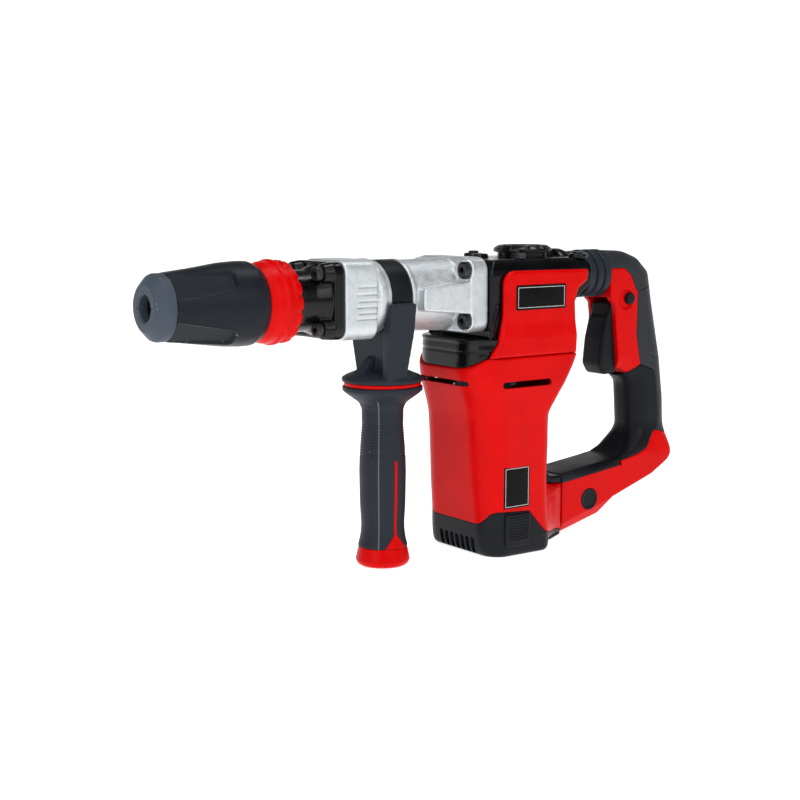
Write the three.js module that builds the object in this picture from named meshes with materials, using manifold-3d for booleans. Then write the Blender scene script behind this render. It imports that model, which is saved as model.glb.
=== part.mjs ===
// A demolition hammer with a vertical motor, in millimetres.
// +Z is up and the tool points along -X. The origin is under the middle of the hammer, on the
// surface that it stands on. The operator's left hand side is -Y.
import * as THREE from "three";
import { mergeVertices } from "three/addons/utils/BufferGeometryUtils.js";
import Module from "manifold-3d";

// ---------------------------------------------------------------- driving dimensions
const GAP = 0.3; // clearance between pieces that rest on each other
const AXIS_Z = 219; // height of the tool axis
const NOSE_X = -262;
const SHANK_R = 9.1; // socket for an 18 mm shank
const SLEEVE_FRONT = -247;
const SLEEVE_REAR = -172;
const RING_REAR = -144;
const HOLDER_R = 20; // outer radius of the rotating tool holder
const TUBE_BORE = HOLDER_R + GAP;
const FLANGE_FRONT = -116.5;
const BARREL_FRONT = -107.2;
const BARREL_REAR = -42.8;
const NECK_R = 26; // clamping neck of the barrel
const GEARCASE_FRONT = -42.5;
const CASE_FRONT = 27.4; // front face of the crankcase
const CASE_HALF = 41.7;
const CASE_TOP = 247;
const CASE_BOTTOM = 158.6;
const FLOOR_TOP = 170;
const MOTOR_X = 55;
const TOOTH_MODULE = 1.25;
const PINION_TEETH = 8;
const CRANK_TEETH = 42;
const CRANK_X = MOTOR_X + (TOOTH_MODULE * (PINION_TEETH + CRANK_TEETH)) / 2;
const CRANK_THROW = 12;
const ROD_LENGTH = 74;
const SEAM_Z = 167; // joint between the side covers and the motor housing
const SHELL_HALF = 48; // half the width over the red shells
const COLLAR_HALF = 46.4; // the crankcase's collar, nearly flush with the shells
const WALL = 3;
const SIDE_HANDLE_X = -51.5;
const DISC_R = 33;
const CAP_X = 95.5; // grease cap
const BELLOWS_Z = 230.5;
const BELLOWS_FRONT = 155.3;
const HANDLE_FRONT = 183;
const SEAM_X = 124; // joint between the motor housing and the rear handle
const PIVOT_X = 157;
const PIVOT_Z = 32;
const GRIP_HALF = 18;
const CORE_HALF = 14.5;
const ARM_HALF = 22.5;

const FINISH = {
  red: { color: 0xc70d0d, roughness: 0.35, metalness: 0 },
  black: { color: 0x17191c, roughness: 0.5, metalness: 0 },
  casting: { color: 0x101113, roughness: 0.3, metalness: 0.3 },
  rubber: { color: 0x2b2f35, roughness: 0.75, metalness: 0 },
  grey: { color: 0x565b61, roughness: 0.7, metalness: 0 },
  silver: { color: 0xb9bec2, roughness: 0.42, metalness: 0.85 },
  steel: { color: 0x8d9196, roughness: 0.3, metalness: 1 },
  darkSteel: { color: 0x24262a, roughness: 0.35, metalness: 0.8 },
  copper: { color: 0xa8622f, roughness: 0.4, metalness: 0.9 },
  carbon: { color: 0x1b1b1c, roughness: 0.9, metalness: 0 },
};

// ---------------------------------------------------------------- solids
const wasm = await Module();
wasm.setup();

function solid(geometry) {
  const bare = geometry.index ? geometry.toNonIndexed() : geometry.clone();
  bare.deleteAttribute("normal");
  bare.deleteAttribute("uv");
  const merged = mergeVertices(bare, 1e-3);
  const triVerts = new Uint32Array(merged.index.array);
  const vertProperties = new Float32Array(merged.attributes.position.array);
  const made = new wasm.Manifold(new wasm.Mesh({ numProp: 3, vertProperties, triVerts }));
  if (made.volume() > 0) return made;
  for (let i = 0; i < triVerts.length; i += 3) {
    [triVerts[i + 1], triVerts[i + 2]] = [triVerts[i + 2], triVerts[i + 1]];
  }
  return new wasm.Manifold(new wasm.Mesh({ numProp: 3, vertProperties, triVerts }));
}

function geometryOf(body) {
  const mesh = body.getMesh();
  const geometry = new THREE.BufferGeometry();
  const positions = new Float32Array(mesh.numVert * 3);
  for (let i = 0; i < mesh.numVert; i++) {
    positions.set(mesh.vertProperties.subarray(i * mesh.numProp, i * mesh.numProp + 3), i * 3);
  }
  geometry.setAttribute("position", new THREE.BufferAttribute(positions, 3));
  geometry.setIndex(new THREE.BufferAttribute(new Uint32Array(mesh.triVerts), 1));
  geometry.computeVertexNormals();
  return geometry;
}

const join = (...bodies) => bodies.reduce((whole, body) => whole.add(body));
const cut = (body, ...tools) => tools.reduce((left, tool) => left.subtract(tool), body);

// A solid of revolution from [axial, radius] points, closed on itself, about X or Z.
function turned(profile, axis = "x", segments = 24) {
  const points = profile.map(([along, radius]) => new THREE.Vector2(radius, along));
  if (profile[0][1] > 0) points.push(points[0].clone());
  const geometry = new THREE.LatheGeometry(points, segments);
  if (axis === "x") geometry.rotateZ(-Math.PI / 2);
  else geometry.rotateX(Math.PI / 2);
  return solid(geometry);
}

// A tube or, with inner = 0, a rod about X or Z through the origin of its group.
function tube(from, to, outer, inner = 0, axis = "x", segments = 24) {
  const wall = inner
    ? [[from, inner], [from, outer], [to, outer], [to, inner]]
    : [[from, 0], [from, outer], [to, outer], [to, 0]];
  return turned(wall, axis, segments);
}

function rodY(from, to, radius, x, z, segments = 16) {
  const geometry = new THREE.CylinderGeometry(radius, radius, to - from, segments);
  return solid(geometry.translate(x, (from + to) / 2, z));
}

function box([x0, x1], [y0, y1], [z0, z1]) {
  const geometry = new THREE.BoxGeometry(x1 - x0, y1 - y0, z1 - z0);
  return solid(geometry.translate((x0 + x1) / 2, (y0 + y1) / 2, (z0 + z1) / 2));
}

// The outline through [x, y, radius] corners, with each corner rounded to its radius.
function outline(corners, steps = 3) {
  const points = [];
  corners.forEach(([x, y, radius = 0], i) => {
    const corner = new THREE.Vector2(x, y);
    if (!radius) {
      points.push(corner);
      return;
    }
    const before = corners.at(i - 1);
    const after = corners[(i + 1) % corners.length];
    const back = new THREE.Vector2(before[0] - x, before[1] - y).normalize();
    const on = new THREE.Vector2(after[0] - x, after[1] - y).normalize();
    const half = Math.acos(back.dot(on)) / 2;
    const middle = back.clone().add(on).normalize();
    const centre = corner.clone().addScaledVector(middle, radius / Math.sin(half));
    const start = corner.clone().addScaledVector(back, radius / Math.tan(half)).sub(centre);
    const end = corner.clone().addScaledVector(on, radius / Math.tan(half)).sub(centre);
    const sweep = Math.atan2(start.cross(end), start.dot(end));
    for (let k = 0; k <= steps; k++) {
      points.push(start.clone().rotateAround(new THREE.Vector2(), (sweep * k) / steps).add(centre));
    }
  });
  return points;
}

// The corners, left sharp, with each edge between them moved inwards by distance.
function inset(corners, distance) {
  const points = corners.map(([x, y]) => new THREE.Vector2(x, y));
  if (THREE.ShapeUtils.isClockWise(points)) points.reverse();
  return points.map((point, i) => {
    const before = points.at(i - 1);
    const after = points[(i + 1) % points.length];
    const a = point.clone().sub(before).normalize();
    const b = after.clone().sub(point).normalize();
    const normal = new THREE.Vector2(-a.y - b.y, a.x + b.x).normalize();
    const shift = distance / Math.max(0.3, normal.dot(new THREE.Vector2(-a.y, a.x)));
    const moved = point.clone().addScaledVector(normal, shift);
    return [moved.x, moved.y];
  });
}

function extruded(corners, depth) {
  const shape = new THREE.Shape(outline(corners));
  return new THREE.ExtrudeGeometry(shape, { depth, bevelEnabled: false, steps: 1 });
}

// Plates: an outline in X and Z with a thickness in Y, in Y and Z along X, and in X and Y along Z.
function plateXZ(corners, [y0, y1]) {
  return solid(extruded(corners, y1 - y0).rotateX(Math.PI / 2).translate(0, y1, 0));
}
function plateYZ(corners, [x0, x1]) {
  const turn = new THREE.Matrix4().makeBasis(
    new THREE.Vector3(0, 1, 0),
    new THREE.Vector3(0, 0, 1),
    new THREE.Vector3(1, 0, 0),
  );
  return solid(extruded(corners, x1 - x0).applyMatrix4(turn).translate(x0, 0, 0));
}
function plateXY(corners, [z0, z1]) {
  return solid(extruded(corners, z1 - z0).translate(0, 0, z0));
}

const rectangle = (x0, x1, y0, y1, r) => [[x0, y0, r], [x1, y0, r], [x1, y1, r], [x0, y1, r]];

// A closed skin over sections, each a list of points with the same count, with flat ends.
function loft(sections) {
  const count = sections[0].length;
  const positions = sections.flat().flatMap((p) => [p.x, p.y, p.z]);
  const indices = [];
  for (let s = 0; s + 1 < sections.length; s++) {
    for (let i = 0; i < count; i++) {
      const a = s * count + i;
      const b = s * count + ((i + 1) % count);
      indices.push(a, b, b + count, a, b + count, a + count);
    }
  }
  const last = (sections.length - 1) * count;
  for (let i = 1; i + 1 < count; i++) {
    indices.push(0, i + 1, i, last, last + i, last + i + 1);
  }
  const geometry = new THREE.BufferGeometry();
  geometry.setAttribute("position", new THREE.Float32BufferAttribute(positions, 3));
  geometry.setIndex(indices);
  return solid(geometry);
}

// A horizontal section of the motor housing, with a rounder front than back.
function housingSection(z, front, rear, half, frontR, rearR, shrink = 0) {
  const corners = [
    [front + shrink, -half + shrink, frontR],
    [rear - shrink, -half + shrink, rearR],
    [rear - shrink, half - shrink, rearR],
    [front + shrink, half - shrink, frontR],
  ];
  return outline(corners, 4).map((p) => new THREE.Vector3(p.x, p.y, z));
}

// ---------------------------------------------------------------- scene graph
const hammer = new THREE.Group();
const toolAxis = new THREE.Group();
toolAxis.position.z = AXIS_Z;
const motorAxis = new THREE.Group();
motorAxis.position.x = MOTOR_X;
const crankAxis = new THREE.Group();
crankAxis.position.x = CRANK_X;
const sideHandle = new THREE.Group();
sideHandle.position.x = SIDE_HANDLE_X;
hammer.add(toolAxis, motorAxis, crankAxis, sideHandle);

function place(parent, name, body, finish, position = [0, 0, 0]) {
  const mesh = new THREE.Mesh(geometryOf(body), new THREE.MeshStandardMaterial(FINISH[finish]));
  mesh.name = name;
  mesh.position.set(...position);
  parent.add(mesh);
}

// ---------------------------------------------------------------- chuck, about the tool axis
const SLEEVE_SHOULDER = -200;
const LOCK_SLOT = [-216, -190];

function toolHolder() {
  const wall = turned([
    [-254, SHANK_R],
    [-254, HOLDER_R],
    [-109, HOLDER_R],
    [-109, 15],
    [-166, 15],
    [-166, SHANK_R],
  ]);
  return cut(wall, box(LOCK_SLOT, [-4, 4], [7, 25]));
}

function lockingSleeve() {
  const wall = turned([
    [SLEEVE_FRONT, 20.6],
    [SLEEVE_FRONT, 24.2],
    [-245.5, 24.8],
    [SLEEVE_SHOULDER, 31.3],
    [-186, 32.2],
    [-176, 32.2],
    [SLEEVE_REAR, 30.4],
    [SLEEVE_REAR, 27.2],
    [SLEEVE_SHOULDER, 27.2],
    [SLEEVE_SHOULDER, 20.6],
  ]);
  const slope = Math.atan2(31.3 - 24.8, SLEEVE_SHOULDER + 245.5);
  const panels = [45, 135, 225, 315].map((degrees) => {
    const panel = new THREE.BoxGeometry(44, 22, 10);
    panel.translate(0, 0, 5).rotateY(-slope).translate(-225, 0, 26.4);
    return solid(panel.rotateX(THREE.MathUtils.degToRad(degrees)));
  });
  return cut(wall, ...panels);
}

function indexRing() {
  return turned([
    [SLEEVE_REAR + GAP, 24.6],
    [SLEEVE_REAR + GAP, 30.4],
    [-169, 31.4],
    [-160, 31.6],
    [-158.8, 32.7],
    [-156.2, 32.7],
    [-155, 31.2],
    [-148, 31.2],
    [RING_REAR, 29.5],
    [RING_REAR, 24.6],
  ]);
}

function coil({ from, to, radius, wire, turns, steps = 10 }) {
  class Helix extends THREE.Curve {
    getPoint(t) {
      const angle = t * turns * 2 * Math.PI;
      return new THREE.Vector3(
        from + (to - from) * t,
        radius * Math.cos(angle),
        radius * Math.sin(angle),
      );
    }
  }
  const section = outline(rectangle(-wire, wire, -wire, wire, 0));
  return solid(
    new THREE.ExtrudeGeometry(new THREE.Shape(section), {
      extrudePath: new Helix(),
      steps: Math.round(turns * steps),
      bevelEnabled: false,
    }),
  );
}

place(toolAxis, "tool_holder", toolHolder(), "darkSteel");
place(
  toolAxis,
  "dust_cap",
  turned([
    [NOSE_X, 9.6],
    [NOSE_X, 17.5],
    [-260, 20.5],
    [-255, 24.2],
    [-253.5, 25],
    [SLEEVE_FRONT - GAP, 25],
    [SLEEVE_FRONT - GAP, HOLDER_R + GAP],
    [-254.3, HOLDER_R + GAP],
    [-254.3, 9.6],
  ]),
  "rubber",
);
place(toolAxis, "locking_sleeve", lockingSleeve(), "rubber");
place(toolAxis, "index_ring", indexRing(), "red");
place(toolAxis, "locking_pin", tube(-214, -194, 3.4, 0, "x", 16), "steel", [0, 0, 11.8]);
place(
  toolAxis,
  "sleeve_spring",
  coil({ from: -197, to: -174, radius: 23.6, wire: 0.9, turns: 4 }),
  "steel",
);

// ---------------------------------------------------------------- front housings, about the tool axis
const FLANGE_SCREWS = [[-21.5, -21.5], [21.5, -21.5], [21.5, 21.5], [-21.5, 21.5]];
const HOUSING_SCREWS = [[-32, -20.4], [32, -20.4], [32, 20.4], [-32, 20.4]];

// Socket-head screw along X: the head's front face is at x = 0.
function capScrew(headR, headLength, shankR, length) {
  const screw = turned([
    [0, 0],
    [0, headR - 0.6],
    [0.6, headR],
    [headLength, headR],
    [headLength, shankR],
    [length, shankR],
    [length, 0],
  ], "x", 12);
  return cut(screw, tube(-1, headLength * 0.55, headR * 0.52, 0, "x", 6));
}

const holesAt = (spots, from, to, radius) =>
  join(...spots.map(([y, z]) => tube(from, to, radius, 0, "x", 12).translate([0, y, z])));

function frontFlange() {
  const neck = turned([
    [RING_REAR + 0.7, 0],
    [RING_REAR + 0.7, 24],
    [-125, 24],
    [FLANGE_FRONT, 29],
    [BARREL_FRONT - GAP, 29],
    [BARREL_FRONT - GAP, 0],
  ]);
  const plate = plateYZ(rectangle(-30, 30, -30, 30, 9), [FLANGE_FRONT, BARREL_FRONT - GAP]);
  const lobes = holesAt(FLANGE_SCREWS, -124, FLANGE_FRONT + 1, 7.8);
  return cut(
    join(neck, plate, lobes),
    tube(-150, -100, TUBE_BORE),
    holesAt(FLANGE_SCREWS, -130, -100, 3.3),
  );
}

function barrelHousing() {
  const square = plateYZ(rectangle(-31, 31, -31, 31, 11), [BARREL_FRONT, -72]);
  const rounds = turned([
    [-73, 0],
    [-73, 31],
    [-69, 30],
    [-62.3, 30],
    [-62.3, NECK_R],
    [BARREL_REAR, NECK_R],
    [BARREL_REAR, 0],
  ]);
  return cut(
    join(square, rounds),
    tube(-110, -40, TUBE_BORE),
    holesAt(FLANGE_SCREWS, -110, -92, 3.3),
  );
}

function gearHousing() {
  const barrel = tube(GEARCASE_FRONT, CASE_FRONT - GAP, 29.5);
  const sides = box([-38, CASE_FRONT - GAP], [-37.5, 37.5], [-10.5, 10.5]);
  const flange = plateYZ(rectangle(-38, 38, -30.5, 30.5, 8), [12, CASE_FRONT - GAP]);
  return cut(
    join(barrel, sides, flange),
    tube(-45, 30, TUBE_BORE),
    holesAt(HOUSING_SCREWS, 10, 30, 3.3),
  );
}

place(toolAxis, "front_flange", frontFlange(), "casting");
place(toolAxis, "barrel_housing", barrelHousing(), "silver");
place(toolAxis, "gear_housing", gearHousing(), "silver");
FLANGE_SCREWS.forEach(([y, z], i) => {
  place(toolAxis, `flange_screw_${i + 1}`, capScrew(5.2, 5.7, 3, 33), "darkSteel", [-130, y, z]);
});
HOUSING_SCREWS.forEach(([y, z], i) => {
  place(toolAxis, `housing_screw_${i + 1}`, capScrew(5.7, 8, 3, 28.5), "darkSteel", [3.7, y, z]);
});

// ---------------------------------------------------------------- striking parts, about the tool axis
const WRIST_X = CRANK_X + CRANK_THROW - ROD_LENGTH;

function connectingRod() {
  const bigEnd = tube(-6, 6, 9.5, 5.3, "z", 24).translate([WRIST_X + ROD_LENGTH, 0, 0]);
  const beam = box([WRIST_X, WRIST_X + ROD_LENGTH - 7], [-4.5, 4.5], [-4, 4]);
  const wristPin = rodY(-11.5, 11.5, 4, WRIST_X, 0, 16);
  return join(bigEnd, beam, wristPin);
}

function piston() {
  const body = tube(4, 34, 17.5, 0, "x", 24);
  return cut(
    body,
    box([8, 40], [-4.8, 4.8], [-4.3, 4.3]),
    rodY(-11.8, 11.8, 4.3, WRIST_X, 0, 16),
  );
}

place(toolAxis, "cylinder_tube", tube(-104, 30, HOLDER_R, 18, "x", 24), "steel");
place(toolAxis, "connecting_rod", connectingRod(), "steel");
place(toolAxis, "piston", piston(), "steel");
place(
  toolAxis,
  "striker",
  turned(
    [[-62, 0], [-62, 7], [-60, 8.5], [-52, 8.5], [-52, 17.5], [-20.5, 17.5], [-20.5, 0]],
    "x",
    24,
  ),
  "steel",
);
place(
  toolAxis,
  "impact_bolt",
  turned([
    [-172, 0],
    [-172, 7.5],
    [-170.5, 8.6],
    [-157.5, 8.6],
    [-157.5, 14.6],
    [-113, 14.6],
    [-113, 9],
    [-86.5, 9],
    [-86.5, 0],
  ], "x", 24),
  "steel",
);

// ---------------------------------------------------------------- crankcase and its covers
// The motor housing at each height: front, rear, half width, front and rear corner radius.
const HOUSING_SECTIONS = [
  [29.9, 23.8, 93, 45, 21, 12],
  [60, 21, 91.5, 45.3, 23, 12],
  [115, 17.5, 92.5, 46.3, 25, 12],
  [130, 14, 100, 47, 26, 10],
  [146, 9.5, 109.5, SHELL_HALF, 27, 8],
  [158, 8, 116.5, SHELL_HALF, 27, 8],
  [SEAM_Z, 8, 120.5, SHELL_HALF, 27, 8],
];
const COVER_SCREWS = [[66.6, -31], [131, -31], [131, 31], [66.6, 31]];

const HOUSING_RIM = [[-5, 158.3], [10, 158.3], [22.6, SEAM_Z], [22.6, 180], [-5, 180]];
const SIDE_COVER = [
  [22.8, SEAM_Z + GAP],
  [116.5, SEAM_Z + GAP],
  [117.3, 182],
  [115.5, 214, 5],
  [119, 222, 4],
  [129, 227.5, 3],
  [130.5, 236.8, 1.5],
  [38, 238, 11],
  [37.5, 200],
  [32, 179.5],
];

function crankcase() {
  const profile = [
    [CASE_FRONT, CASE_BOTTOM],
    [119, CASE_BOTTOM],
    [119, 212, 6],
    [138, 226, 8],
    [138, CASE_TOP, 8],
    [34, CASE_TOP, 6],
    [CASE_FRONT, 238, 6],
  ];
  const body = plateXZ(profile, [-CASE_HALF, CASE_HALF]);
  const roof = plateYZ(
    rectangle(-CASE_HALF, CASE_HALF, CASE_BOTTOM - 20, CASE_TOP, 11),
    [CASE_FRONT - 5, 140],
  );
  const collar = loft([
    housingSection(CASE_BOTTOM, 9.3, 100, COLLAR_HALF, 28, 5),
    housingSection(182, 9.3, 100, COLLAR_HALF, 28, 5),
    housingSection(184, 12.3, 100, COLLAR_HALF - 3, 25, 5),
  ]);
  const neck = tube(136.5, BELLOWS_FRONT - GAP, 20.5).translate([0, 0, BELLOWS_Z]);
  const cavity = box([33, 115.5], [-33, 33], [FLOOR_TOP, 241]);
  const inHousing = loft(
    HOUSING_SECTIONS.map(([z, ...row]) => housingSection(z + 1, ...row, WALL + GAP)),
  );
  const openRim = plateXZ(HOUSING_RIM, [-60, 60]).translate([-GAP, 0, GAP]);
  const aroundIt = cut(box([0, 130], [-60, 60], [150, SEAM_Z + GAP]), inHousing, openRim);
  const coverRoom = plateXZ(inset(SIDE_COVER, -GAP), [CASE_HALF, SHELL_HALF + 1]);
  return cut(
    join(body.intersect(roof), collar, neck),
    aroundIt,
    coverRoom,
    coverRoom.mirror([0, 1, 0]),
    cavity,
    tube(20, 34, TUBE_BORE).translate([0, 0, AXIS_Z]),
    holesAt(HOUSING_SCREWS, 20, 33, 3.3).translate([0, 0, AXIS_Z]),
    tube(240, 250, 22, 0, "z").translate([CAP_X, 0, 0]),
    tube(150, 175, 13.3, 0, "z").translate([MOTOR_X, 0, 0]),
    tube(161.5, 175, 6.3, 0, "z", 20).translate([CRANK_X, 0, 0]),
    ...COVER_SCREWS.map(([x, y]) => tube(238, 250, 2.8, 0, "z", 12).translate([x, y, 0])),
  );
}

function topCover() {
  const [low, high] = [CASE_TOP + GAP, 250];
  const plate = plateXY(
    [[44, -24, 8], [58, -36, 8], [136, -36, 8], [136, 36, 8], [58, 36, 8], [44, 24, 8]],
    [low, high],
  );
  return cut(
    plate,
    tube(240, 255, 22, 0, "z").translate([CAP_X, 0, 0]),
    ...COVER_SCREWS.map(([x, y]) => tube(240, 255, 4.6, 0, "z", 16).translate([x, y, 0])),
  );
}

function greaseCap() {
  const cap = turned([
    [243, 0],
    [243, 21.6],
    [250.3, 21.6],
    [250.3, 25],
    [253.5, 25],
    [256, 22],
    [257, 18],
    [255.5, 15],
    [255.5, 0],
  ], "z", 32);
  const sockets = [0, 1, 2].map((i) => {
    const angle = (i * 2 * Math.PI) / 3;
    return tube(250, 260, 2.5, 0, "z", 10).translate([
      10 * Math.cos(angle),
      10 * Math.sin(angle),
      0,
    ]);
  });
  return cut(cap, ...sockets);
}


function sideCover(side) {
  const plate = plateXZ(SIDE_COVER, [CASE_HALF + GAP, SHELL_HALF]);
  return side > 0 ? plate : plate.mirror([0, 1, 0]);
}

place(hammer, "crankcase", crankcase(), "casting");
place(hammer, "top_cover", topCover(), "casting");
place(hammer, "grease_cap", greaseCap(), "black", [CAP_X, 0, 0]);
COVER_SCREWS.forEach(([x, y], i) => {
  const screw = capScrew(4.3, 4.5, 2.5, 11.5).rotate([0, 90, 0]);
  place(hammer, `cover_screw_${i + 1}`, screw, "darkSteel", [x, y, 251.8]);
});
place(hammer, "side_cover_left", sideCover(-1), "red");
place(hammer, "side_cover_right", sideCover(1), "red");

// ---------------------------------------------------------------- motor housing and base
const STUB = [[80, 30.2], [92, 17], [SEAM_X, 10.6], [SEAM_X, 56.4], [91, 52.8], [80, 62]];
const TONGUE = [[118, 22], [166, 22, 9], [166, 42, 9], [118, 42]];

function motorHousing() {
  const skin = (shrink) => loft(HOUSING_SECTIONS.map((row) => housingSection(...row, shrink)));
  const inner = (z, row) => housingSection(z, ...row.slice(1), WALL);
  const cavity = loft([
    inner(20, HOUSING_SECTIONS[0]),
    ...HOUSING_SECTIONS.map((row) => housingSection(...row, WALL)),
    inner(175, HOUSING_SECTIONS.at(-1)),
  ]);
  const shell = cut(
    skin(0),
    cavity,
    plateXZ(HOUSING_RIM, [-50, 50]),
    box([35, 88], [-50, 50], [142, 148]),
    box([0, 20], [-28, 28], [144, 149]),
  );
  const stub = plateXZ(STUB, [-ARM_HALF, ARM_HALF]);
  const tongue = plateXZ(TONGUE, [-11.8, 11.8]);
  const stubOutside = cut(stub, cavity, box([80, 94.4], [-30, 30], [0, 29.9]));
  return cut(join(shell, stubOutside, tongue.subtract(cavity)), rodY(-20, 20, 5.3, PIVOT_X, PIVOT_Z));
}

function baseCap() {
  const rows = [
    [0, 31, 91, 43, 16, 10],
    [3, 28, 94, 45, 19, 11],
    [29.6, 23.8, 93, 45, 21, 12],
  ];
  const cavity = loft([
    housingSection(WALL, 34, 86, 40, 20, 10, 1.5),
    housingSection(12, 28, 90, 43.5, 24, 13, WALL),
    housingSection(31, 24, 91, 44.5, 24, 13, WALL),
  ]);
  const tail = plateXZ(
    [[80, 0.6], [112, 0.6, 3], [SEAM_X, 4.4], [SEAM_X, 10.3], [92, 16.6], [80, 29.6]],
    [-ARM_HALF + 0.5, ARM_HALF - 0.5],
  );
  const seat = tube(2, 13, 12.5, 0, "z").translate([MOTOR_X, 0, 0]);
  const vents = [-24, -16, -8, 0, 8, 16, 24].map((y) => box([15, 36], [y - 2, y + 2], [9, 23]));
  return cut(
    join(cut(join(loft(rows.map((row) => housingSection(...row))), tail), cavity), seat),
    tube(5.7, 14, 9.9, 0, "z").translate([MOTOR_X, 0, 0]),
    ...vents,
  );
}

function brushCover(side) {
  const [low, high] = [45.5, SHELL_HALF];
  const plate = plateXZ(rectangle(40.5, 66.5, 10, 37, 3), [low, high]);
  const grooves = [15, 19, 23, 27, 31].map((z) =>
    box([43, 64], [high - 0.8, high + 1], [z, z + 1.8]),
  );
  const cover = cut(plate, ...grooves);
  return side > 0 ? cover : cover.mirror([0, 1, 0]);
}

place(hammer, "motor_housing", motorHousing(), "red");
place(hammer, "base_cap", baseCap(), "black");
place(hammer, "brush_cover_left", brushCover(-1), "black");
place(hammer, "brush_cover_right", brushCover(1), "black");

// ---------------------------------------------------------------- motor and crank drive
// A spur gear about Z, whose teeth are trapezoids on the pitch circle.
function gear(teeth, from, to, phase = 0) {
  const pitchR = (TOOTH_MODULE * teeth) / 2;
  const points = [];
  for (let i = 0; i < teeth; i++) {
    const step = (2 * Math.PI) / teeth;
    const spots = [[0.15, -1.3], [0.38, 0.85], [0.62, 0.85], [0.85, -1.3]];
    for (const [share, height] of spots) {
      const angle = (i + share - 0.5) * step + phase;
      const radius = pitchR + height * TOOTH_MODULE;
      points.push([radius * Math.cos(angle), radius * Math.sin(angle)]);
    }
  }
  return plateXY(points, [from, to]);
}

function armature() {
  const shaft = turned([
    [7, 0],
    [7, 5],
    [18, 5],
    [18, 12],
    [40, 12],
    [40, 6],
    [56, 6],
    [56, 18.6],
    [116, 18.6],
    [116, 6],
    [136, 6],
    [136, 12],
    [138, 27],
    [140.5, 27],
    [140.5, 9],
    [152, 8],
    [152, 5],
    [197, 5],
    [197, 0],
  ], "z", 24);
  const blades = [...Array(9).keys()].map((i) =>
    box([8, 26.5], [-1, 1], [140, 150]).rotate([0, 0, i * 40]),
  );
  return join(shaft, ...blades, gear(PINION_TEETH, 196, 207.5, Math.PI / PINION_TEETH));
}

function crankGear() {
  const shaft = tube(162, 200, 6, 0, "z", 20);
  const pin = tube(205, 212.4, 5, 0, "z", 20).translate([CRANK_THROW, 0, 0]);
  return join(shaft, gear(CRANK_TEETH, 198, 206.5), pin);
}

function stator() {
  return turned([
    [52, 21],
    [52, 27],
    [58, 30],
    [112, 30],
    [120, 27],
    [120, 21],
    [112, 19.4],
    [58, 19.4],
  ], "z", 24);
}

function carbonBrush(side) {
  const brush = box([-4, 4], [12.4, 30], [24, 34]);
  return side > 0 ? brush : brush.mirror([0, 1, 0]);
}

place(motorAxis, "stator", stator(), "copper");
place(motorAxis, "armature", armature(), "steel");
place(motorAxis, "upper_bearing", tube(161, 169.5, 13, 5.3, "z", 24), "steel");
place(motorAxis, "lower_bearing", tube(6, 13, 9.6, 5.3, "z", 24), "steel");
place(motorAxis, "brush_left", carbonBrush(-1), "carbon");
place(motorAxis, "brush_right", carbonBrush(1), "carbon");
place(crankAxis, "crank_gear", crankGear(), "steel");

// ---------------------------------------------------------------- rear handle
const HANDLE = [
  [HANDLE_FRONT, 208],
  [187.5, 204, 3],
  [195.5, 141.5, 2],
  [205, 137, 3],
  [210, 131, 4],
  [212.5, 86, 12],
  [200, 69, 6],
  [194, 65.1, 4],
  [125.3, 56.7],
  [125.3, 3.9],
  [173.5, 15.5, 3],
  [187, 29.5, 4],
  [238, 46, 20],
  [262, 58, 14],
  [262, 80],
  [260, 115],
  [256, 155],
  [246.5, 200],
  [243.5, 233, 12],
  [230, 245, 16],
  [208, 250.2],
  [HANDLE_FRONT, 251],
];
const TOP_REGION = [
  [HANDLE_FRONT - 3, 235],
  [200, 234.8],
  [208.5, 228.3],
  [213.8, 217],
  [217, 213.5],
  [255, 225.5],
  [255, 262],
  [HANDLE_FRONT - 3, 262],
];
const REAR_REGION = [
  [217, 213.5],
  [216.5, 174],
  [222, 147.5],
  [240, 141],
  [246, 98],
  [243, 85],
  [275, 76],
  [275, 232],
];
const LOWER_REGION = [
  [190, 67.8],
  [217, 67],
  [228.5, 71],
  [238, 84.5],
  [243, 85],
  [246, 98],
  [240, 141],
  [222, 147.5],
  [212.5, 142.7],
  [203, 136],
  [195, 133],
];
const ARM_REGION = [[120, -5], [185, -5], [250, 40], [238, 62], [205, 66.4], [196, 64.9], [120, 55.8]];
const TRIGGER_POCKET = [[172, 137], [208.5, 137], [207, 206], [178, 210]];
const OVERMOULD = 3;
const GLAND_SPOT = [180.25, 0, 22.5]; // middle of the sloping face under the handle
const GLAND_TILT = 46;

const region = (corners, grow = 0) => plateXZ(grow ? inset(corners, -grow) : corners, [-60, 60]);
const topRegion = region(TOP_REGION);
const topGrown = region(TOP_REGION, GAP);
const rearGrown = region(REAR_REGION, GAP);
const lowerGrown = region(LOWER_REGION, GAP);
const handleBlock = plateXZ(HANDLE, [-GRIP_HALF, GRIP_HALF]);
const coreRoom = plateXZ(inset(HANDLE, OVERMOULD), [-CORE_HALF - GAP, CORE_HALF + GAP]);

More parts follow.
